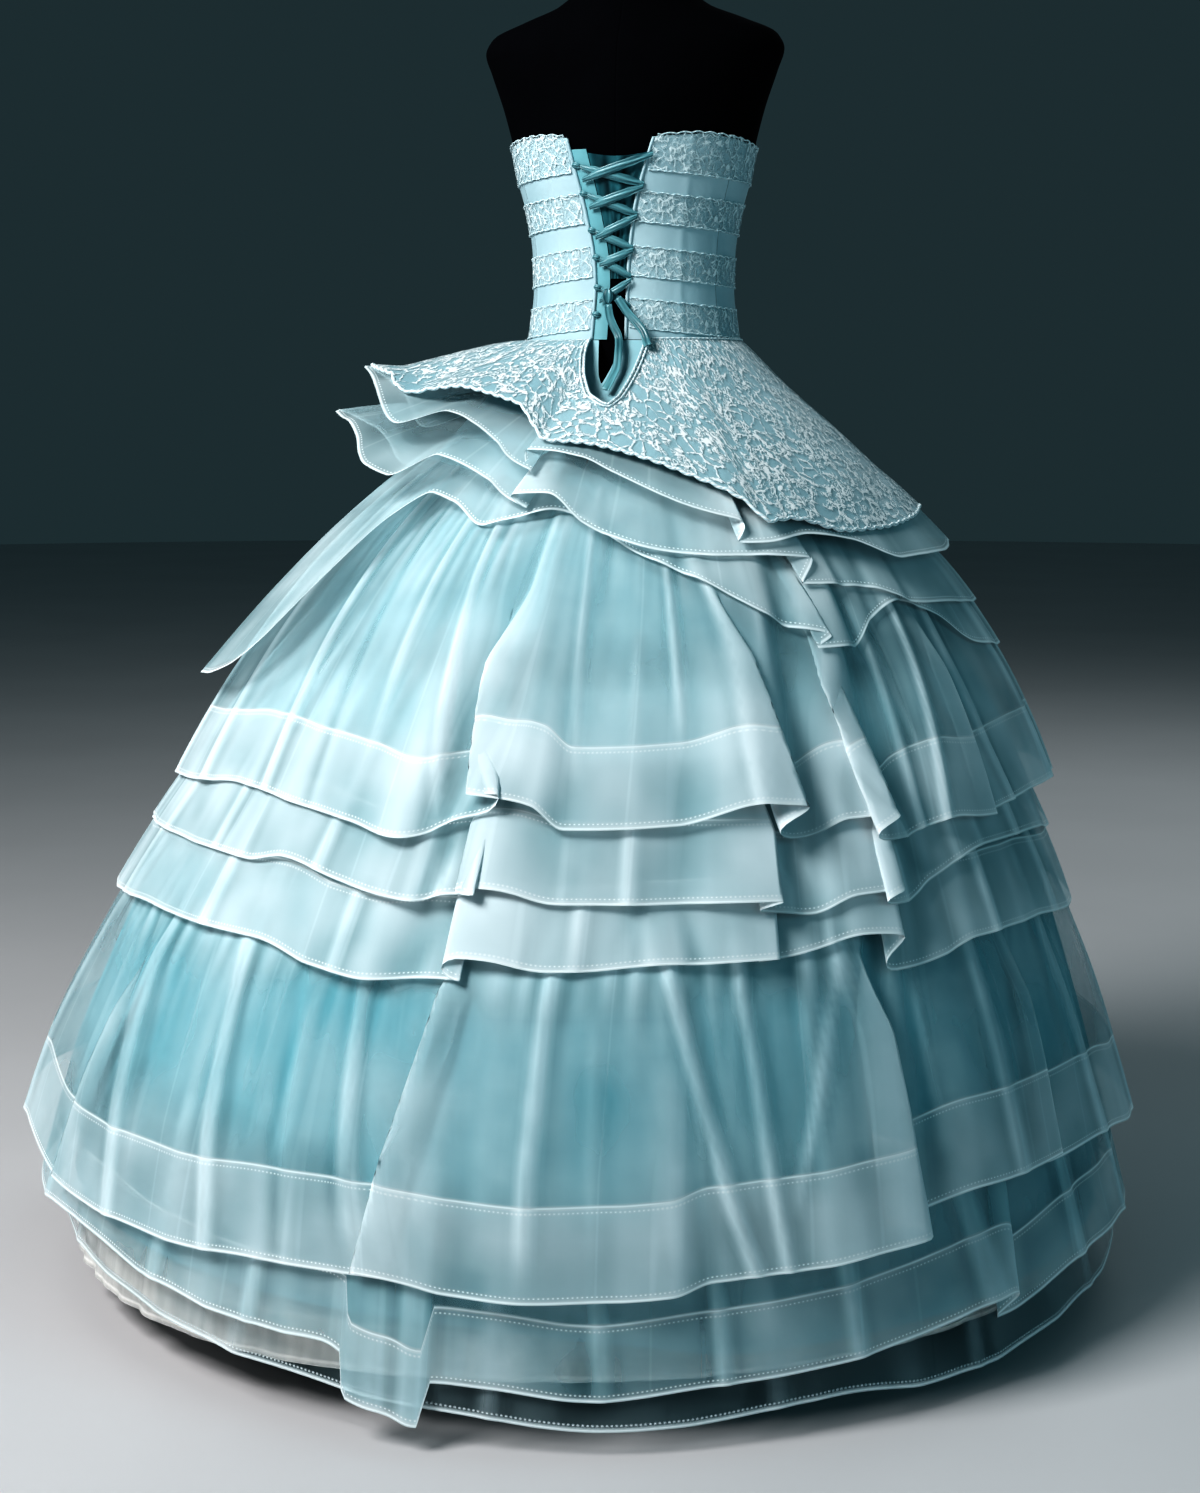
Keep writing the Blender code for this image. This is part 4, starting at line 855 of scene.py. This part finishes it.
def lace_finish(name, cell, reach, ground, net, cord, raised=0.5, loops=1.0, trellis=0.0):
    """Corded lace: small looped cords crowd along the edges of wandering cells, in metres a
    cell. Their reach into a cell swells and shrinks from place to place, and the middle of a
    cell is bare net. A trellis adds two sets of crossing cords."""
    finish = Finish(name, Roughness=0.75, Sheen_Weight=0.05)
    here = finish.cut()
    for size, sway in ((0.9, 0.55), (3.5, 0.20)):
        bend = finish.node("TexNoise", {}, {"Vector": here, "Scale": size / cell, "Detail": 1.0},
                           "Color")
        here = finish.node("VectorMath", {"operation": "MULTIPLY_ADD"},
                           {0: bend, 1: (sway * cell, sway * cell, 0), 2: here})
    edge = finish.node("TexVoronoi", {"feature": "DISTANCE_TO_EDGE"},
                       {"Vector": here, "Scale": 1 / cell})
    loop = finish.node("TexVoronoi", {}, {"Vector": here, "Scale": 1 / LACE_LOOP},
                       "Distance")
    patch = (finish.noise(finish.cut(), 0.30 / cell, 1.0) - 0.5) * 1.2
    crowd = 1 - (edge - patch).over(reach, 0.06)
    core = 1 - (edge + loop * 0.12).over(0.105, 0.04)
    threads = core.most(loop.line(0.40, 0.24) * crowd * loops)
    if trellis:
        along, up = (finish.node("SeparateXYZ", {}, {0: here}, axis) for axis in "XY")
        for lean in (0.9, -0.9):
            cross = ((along + up * lean) * (2 * math.pi / trellis)).sine()
            threads = threads.most((1 - abs(cross) / 0.20).held())
    finish.set("Base Color", finish.mix(net, cord, threads))
    finish.set("Alpha", (threads * (0.97 - ground) + ground).held())
    finish.relief(threads, 0.0016, raised)
    return finish


def unit(vectors):
    return vectors / np.linalg.norm(vectors, axis=-1, keepdims=True)


def cord_mesh(name, path, radius, finish, sides, flat=1.0, out=(0.0, -1.0, 0.2)):
    """A cord along a path: a ring of points round each of its own, in the plane across it.
    flat is its thickness next to its width, and out the way that its thin side faces."""
    along = unit(np.gradient(path, axis=0))
    side = unit(np.cross(along, np.broadcast_to(out, path.shape)))
    over = np.cross(side, along)
    turn = -np.arange(sides) * 2 * np.pi / sides
    size = np.broadcast_to(np.asarray(radius, float), (len(path),))[:, None, None]
    rings = path[:, None] + size * (
        side[:, None] * np.cos(turn)[None, :, None]
        + flat * over[:, None] * np.sin(turn)[None, :, None]
    )
    ends = [np.broadcast_to(path[k], (1, sides, 3)) for k in (0, -1)]
    rings = np.concatenate([ends[0], rings, ends[1]])
    step = np.linalg.norm(np.diff(path, axis=0), axis=1).sum() / len(path)
    rows, columns = rings.shape[:2]
    round_it = np.arange(columns + 1) * 2 * np.pi * size.max() / sides
    cut = np.stack(np.meshgrid(np.arange(rows) * step, round_it, indexing="ij"), -1)
    cord = grid_mesh(name, rings, finish, True, cut)
    return cord


def cord_finish(name, deep, pale):
    """Plaited cord, painted pale on the crowns of its plait as highlights and darker between them
    as painted shade.
    """
    finish = Finish(name, Roughness=0.65, Sheen_Weight=0.2)
    plait_and_painted_light = finish.node("TexWave", {"bands_direction": "DIAGONAL"},
                        {"Vector": finish.cut(), "Scale": 110.0, "Distortion": 2.0})
    finish.set("Base Color", finish.mix(deep, pale, plait_and_painted_light))
    finish.relief(plait_and_painted_light, 0.0008, 0.5)
    return finish


floral_lace = lace_finish("floral_lace", 0.019, 0.21, 0.26, (0.52, 0.72, 0.77),
                          (0.94, 0.98, 0.99))
lace_cord = cord_finish("lace_cord", (0.64, 0.81, 0.85), (0.93, 0.98, 0.99))


lace_points = skirt_point(TURN, peplum_level, peplum_lift + 0.0014)
NOTCH_FOOT, FRONT = np.argmin(abs(TURN - 3)), np.argmin(abs(TURN - 180))
halves = (
    ("right", np.arange(NOTCH_FOOT, FRONT + 1), (1.08, 0.31), 0.205),
    ("left", np.arange(FRONT, NOTCH_FOOT + len(TURN) + 1) % len(TURN), (0.96, 0.25), 0.115),
)

around_notch = np.flatnonzero((TURN > -13.5) & (TURN < 16))
trim_path, below = lace_points[0, around_notch], lace_points[4, around_notch]
trim_along = unit(np.gradient(trim_path, axis=0))
trim_out = unit(np.cross(below - trim_path, trim_along))
trim_away = np.cross(trim_along, trim_out)
trim = [cord_mesh(f"notch_cord_{word}",
                  trim_path + 0.0009 * trim_out + away * trim_away, radius, lace_cord, 8)
        for word, away, radius in (("inner", 0.0004, 0.0014), ("outer", 0.0048, 0.0011))]
waist = np.flatnonzero((TURN > 15.5) & (TURN < 347))
trim.append(cord_mesh("waist_cord", lace_points[0, waist] + (0, 0, 0.0008),
                      0.0011, lace_cord, 6))
hem_cord_points = skirt_point(TURN, peplum_hem, peplum_lift[-1] + 0.0012)
scallop = 0.0022 * np.abs(np.sin(np.radians(TURN) * 62))
for word, columns, flat, area in halves:
    edge = hem_cord_points[columns].copy()
    edge[:, 2] -= scallop[columns]
    cord = cord_mesh(f"peplum_lace_edge_{word}", edge, 0.0019, lace_cord, 6)
    sew(f"peplum_lace_{word}_cloth", f"peplum_lace_{word}", "corded_lace",
        lace_points[:, columns], floral_lace, flat, "draped", "peplum_cloth", area=area,
        with_pieces=[cord, *trim] if word == "right" else [cord])

# ------------------------------------------------------------------------------ bodice
# Five satin panels over light boning, laced at the back, with four bands of corded lace
# laid round them. The lacing edges are piped.

BODICE_FOOT = 1.0346
SIDE_BACK_SEAM = 62.0
FRONT_SEAM = 128.0
EASE = 0.0009
CLOTH = 0.0020
# The lacing gap: height, angle of its left and right edge.
LACING_GAP = np.array(((1.034, -13.5, 5.0), (1.10, -12.5, 6.0), (1.17, -17.0, 9.0),
                       (1.26, -24.5, 18.5)))
NECKLINE = ((0, 1.247), (20, 1.250), (40, 1.253), (62, 1.250), (90, 1.243), (120, 1.241),
            (150, 1.244), (168, 1.240), (180, 1.230))
BONE_RISE = 0.0008
BONES = (36.0, 62.0, 92.0, 128.0, 156.0)


def gap_edge(height, side):
    """The angle of the lacing gap's edge at this height: side 1 is its left, 2 its right."""
    return smooth(height, LACING_GAP[:, 0], LACING_GAP[:, side])


def neckline(angle):
    """Height of the bodice's top edge."""
    return smooth(np.abs((np.asarray(angle) + 180) % 360 - 180), *zip(*NECKLINE))


def bones(angle):
    """How far the boning lifts the cloth: a soft ridge over each bone, from 0 to 1."""
    here = np.abs((np.asarray(angle) + 180) % 360 - 180)
    return sum(np.exp(-(((here - bone) / 2.6) ** 2)) for bone in BONES)


def panel_grid(first, last, out):
    """Points of one bodice panel from the neckline down to the waist. An end is an angle, or
    1 or 2 for the lacing gap's left or right edge at each height."""
    part = np.linspace(0, 1, 60)[None, :]
    down = np.linspace(0, 1, 46)[:, None]
    height = neckline(0.0) + down * (BODICE_FOOT - neckline(0.0))
    ends = [gap_edge(height, end) if end in (1, 2) else end + 0 * height
            for end in (first, last)]
    angle = ends[0] + part * (ends[1] - ends[0])
    top = neckline(angle)
    height = top + down * (BODICE_FOOT - top)
    return body_point(angle, height, out + BONE_RISE * bones(angle))


bodice_satin = satin_finish("bodice_satin", (0.34, 0.53, 0.59), (0.60, 0.76, 0.80), 0.06)
PANELS = (
    ("back_left", -SIDE_BACK_SEAM + 0.1, 1, (0.13, 0.22), 0.0225),
    ("back_right", 2, SIDE_BACK_SEAM - 0.1, (0.14, 0.22), 0.0255),
    ("side_left", -FRONT_SEAM + 0.1, -SIDE_BACK_SEAM - 0.1, (0.15, 0.22), 0.0285),
    ("side_right", SIDE_BACK_SEAM + 0.1, FRONT_SEAM - 0.1, (0.15, 0.22), 0.0285),
    ("front", FRONT_SEAM + 0.1, 360 - FRONT_SEAM - 0.1, (0.23, 0.22), 0.0450),
)
for word, first, last, flat, area in PANELS:
    sew(f"bodice_panel_{word}", f"bodice_{word}", "satin",
        panel_grid(first, last, EASE + CLOTH * 0.8), bodice_satin, flat, "stretched",
        "form_cover", area=area)

for word, side in (("left", 1), ("right", 2)):
    height = np.linspace(float(neckline(20)) - 0.001, BODICE_FOOT, 90)
    edge = body_point(gap_edge(height, side), height, EASE + CLOTH * 0.9)
    cord_mesh(f"lacing_piping_{word}", edge, 0.0019, bodice_satin, 10,
              out=edge * (1, 1, 0))

# Bands of lace: node, foot at the centre back, room over the panels.
BANDS = ((1, 1.0500, 0.0009), (2, 1.1060, 0.0009), (3, 1.1640, 0.0017), (4, 1.2190, 0.0017))
BAND_HEIGHT = 0.030
BAND_DROP = 0.012
band_cord = cord_finish("band_cord", (0.56, 0.76, 0.81), (0.80, 0.93, 0.95))
band_lace = lace_finish("band_lace", 0.010, 0.30, 0.12, (0.50, 0.72, 0.77),
                        (0.84, 0.95, 0.97), 0.3, 0.7, 0.015)


def band_grid(side, foot, out):
    """Points of a lace band from the lacing gap to the centre front, top row first. Its top
    edge runs in small scallops, and it dips towards the side."""
    part = np.linspace(0, 1, 240)[None, :]
    up = np.linspace(1, 0, 8)[:, None]
    start = gap_edge(foot + BAND_HEIGHT * up, side) + (1.6 if side == 2 else -1.4)
    angle = start + part * ((179.8 if side == 2 else -179.8) - start)
    drop = BAND_DROP * np.sin(np.radians(np.clip(np.abs(angle), 0, 90)))
    scallop = 0.0016 * np.abs(np.sin(np.radians(angle) * 26))
    height = foot - drop + BAND_HEIGHT * up + scallop * up - scallop * (1 - up) * 0.6
    if foot > 1.2:
        height = height + up * (neckline(angle) + 0.0012 + scallop - height)
    points = body_point(angle, height, out + BONE_RISE * bones(angle))
    return points if side == 2 else points[:, ::-1]


for number, foot, room in BANDS:
    for side, word in ((1, "left"), (2, "right")):
        points = band_grid(side, foot, EASE + CLOTH + room * 0.6)
        edges = [cord_mesh(f"lace_band_{number}_{word}_{end}", points[row], 0.0008,
                           band_cord, 6, out=points[row] * (1, 1, 0))
                 for row, end in ((0, "top"), (-1, "foot"))]
        sew(f"lace_band_{number}_{word}_cloth", f"lace_band_{number}_{word}", "band_lace",
            points, band_lace, (0.35, 0.048 if number == 4 else 0.034), "stretched",
            "bodice_panel_front", with_pieces=edges)

# --------------------------------------------------------------------------- lacing
# A loop strip beside the left panel, a gathered modesty panel behind, and one satin ribbon
# that crosses from the loops to the right edge, is knotted at the foot and left hanging.

PLACKET, PLACKET_TOP = 8.5, 1.238
MODESTY_TOP, MODESTY_FOOT = 1.234, 1.100
LOOP_HEIGHTS = (1.221, 1.191, 1.152, 1.123, 1.091, 1.062)
UNDER_STRANDS = ((1.219, 1.200), (1.189, 1.168), (1.150, 1.132), (1.121, 1.102), (1.089, 1.070))
OVER_STRANDS = ((1.205, 1.231), (1.176, 1.197), (1.144, 1.166), (1.115, 1.130), (1.076, 1.098))
UNDER_OUT = EASE + CLOTH + 0.0008
OVER_OUT = UNDER_OUT + 0.0022
KNOT = ((-4.0, 1.0890, 0.0110), (-4.0, 1.0730, 0.0110))
LONG_TAIL = ((-3.8, 1.0725, 0.0108), (-3.0, 1.0610, 0.0100), (-1.0, 1.0500, 0.0105),
             (2.0, 1.0370, 0.0125))
LONG_TAIL_BELOW = ((3.0, 1.0150, 0.0110), (3.0, 1.0000, 0.0095), (1.5, 0.9860, 0.0090),
                   (0.0, 0.9740, 0.0095))
SHORT_TAIL = ((1.1, 1.0790, 0.0110), (6.0, 1.0640, 0.0115), (10.5, 1.0530, 0.0145),
              (13.5, 1.0440, 0.0190))
SHORT_TAIL_BELOW = ((15.0, 1.0240, 0.0165), (15.5, 1.0160, 0.0190))


def ribbon_finish(name, stretch, deep, pale):
    """Narrow satin in soft lengthwise creases, with highlights painted on their crests and shade
    painted between them.
    """
    finish = Finish(name, Roughness=0.32, Sheen_Weight=0.05)
    crease_and_painted_light = finish.noise(finish.cut(stretch), 1.0, 1.0)
    finish.set("Base Color", finish.mix(deep, pale, ((crease_and_painted_light - 0.5) * 2.6 + 0.5).held()))
    finish.relief(crease_and_painted_light, 0.0035, 0.9)
    return finish


# The deep colours are painted shade and the pale ones painted highlights, on the ribbon's creases
# and on the modesty panel's gathers.
ribbon_satin = ribbon_finish("ribbon_satin", (14, 170, 1), (0.01, 0.08, 0.10),
                             (0.25, 0.54, 0.59))
modesty_satin = ribbon_finish("modesty_satin", (190, 14, 1), (0.004, 0.035, 0.045),
                              (0.06, 0.24, 0.28))
loop_satin = satin_finish("loop_satin", (0.10, 0.34, 0.39), (0.34, 0.64, 0.69), 0.06)

down = np.linspace(0, 1, 60)[:, None]
across = np.linspace(0, 1, 16)[None, :]
placket_height = PLACKET_TOP + down * (BODICE_FOOT - PLACKET_TOP)
placket_angle = gap_edge(placket_height, 1) + 0.35 + across * (PLACKET - 0.35)
placket_out = EASE + CLOTH * 0.5 + 0.0006 * np.sin(np.pi * across)
sew("loop_strip", "lacing_placket", "satin",
    body_point(placket_angle, placket_height, placket_out), loop_satin, (0.018, 0.20),
    "stretched", "form_cover")

across = np.linspace(0, 1, 70)[None, :]
modesty_height = MODESTY_TOP + down * (MODESTY_FOOT - MODESTY_TOP)
left = gap_edge(modesty_height, 1) + PLACKET + 0.3
right = gap_edge(modesty_height, 2) - 0.3
sag = 0.004 * np.sin(np.pi * across) * (1 - down) ** 2
gathers = np.sin(across * 2 * np.pi * 4 + 1.8 * np.sin(down * 5 + across * 6)) * 0.5 + 0.5
points = body_point(left + across * (right - left), modesty_height - sag,
                    EASE + 0.0003 + 0.0016 * gathers * (0.5 + 0.5 * np.sin(np.pi * across)))
sew("modesty_cloth", "modesty_panel", "ribbon_satin", points, modesty_satin, (0.054, 0.135),
    "gathered", "form_cover")


def strand_grid(first, last, out, width, turn_in=0.0):
    """Points of a ribbon between two (angle, height) ends round the form. Its cloth is
    slightly crowned across, and narrows and lifts where it turns over an edge."""
    part = np.linspace(0, 1, 40)[None, :]
    over = np.linspace(1, -1, 17)[:, None]
    angle = first[0] + part * (last[0] - first[0])
    ends = np.clip(np.minimum(part, 1 - part) / 0.25, 0, 1)
    half = width / 2 * (0.55 + 0.45 * ends)
    height = first[1] + part * (last[1] - first[1]) + over * half
    crown = 0.0006 * (1 - over**2) + 0.0006 * np.abs(np.sin(over * 4 + part * 3))
    return body_point(angle, height, out + crown + turn_in * np.sin(np.pi * part))


for number, height in enumerate(LOOP_HEIGHTS):
    edge = float(gap_edge(height, 1))
    points = strand_grid((edge - 0.5, height), (edge + 3.8, height), UNDER_OUT, 0.0062, 0.0012)
    loop = grid_mesh(f"satin_loop_{number + 1}", points, ribbon_satin, cut=cut_of(points))
    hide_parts(f"lacing_loop_{number + 1}")
for word, strands, out in (("under", UNDER_STRANDS, UNDER_OUT), ("over", OVER_STRANDS, OVER_OUT)):
    for number, (left, right) in enumerate(strands):
        first = (float(gap_edge(left, 1)) + 3.6, left)
        last = (float(gap_edge(right, 2)) + 2.0, right)
        points = strand_grid(first, last, out, 0.0100, 0.0012)
        long = float(np.linalg.norm(np.diff(points[8], axis=0), axis=1).sum())
        sew(f"lacing_{word}_{number + 1}", f"ribbon_{word}_{number + 1}", "ribbon_satin",
            points, ribbon_satin, (long, 0.0100), "stretched", "modesty_cloth")


def tail_path(above, below):
    """A smooth path through the points of a tail, which are read by their own order."""
    points = np.array([*(body_point(*row) for row in above), *(skirt_point(*row) for row in below)])
    place = np.concatenate([[0], np.cumsum(np.linalg.norm(np.diff(points, axis=0), axis=1))])
    fine = np.linspace(0, place[-1], 40)
    return np.stack([smooth(fine, place, points[:, k]) for k in range(3)], 1)


top, foot = (body_point(*row) for row in KNOT)
part = np.linspace(0, 1, 24)[:, None]
knot_path = top + part * (foot - top)
knot_size = 0.0020 + 0.0042 * np.sin(np.pi * part[:, 0]) ** 0.6
knot = cord_mesh("lacing_knot", knot_path, knot_size, ribbon_satin, 20, 0.5)
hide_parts("ribbon_knot")
for word, above, below in (("long", LONG_TAIL, LONG_TAIL_BELOW),
                           ("short", SHORT_TAIL, SHORT_TAIL_BELOW)):
    path = tail_path(above, below)
    tail = cord_mesh(f"ribbon_end_{word}", path, 0.0045, ribbon_satin, 16, 0.16)
    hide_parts(f"ribbon_tail_{word}")
    length = float(np.linalg.norm(np.diff(path, axis=0), axis=1).sum())
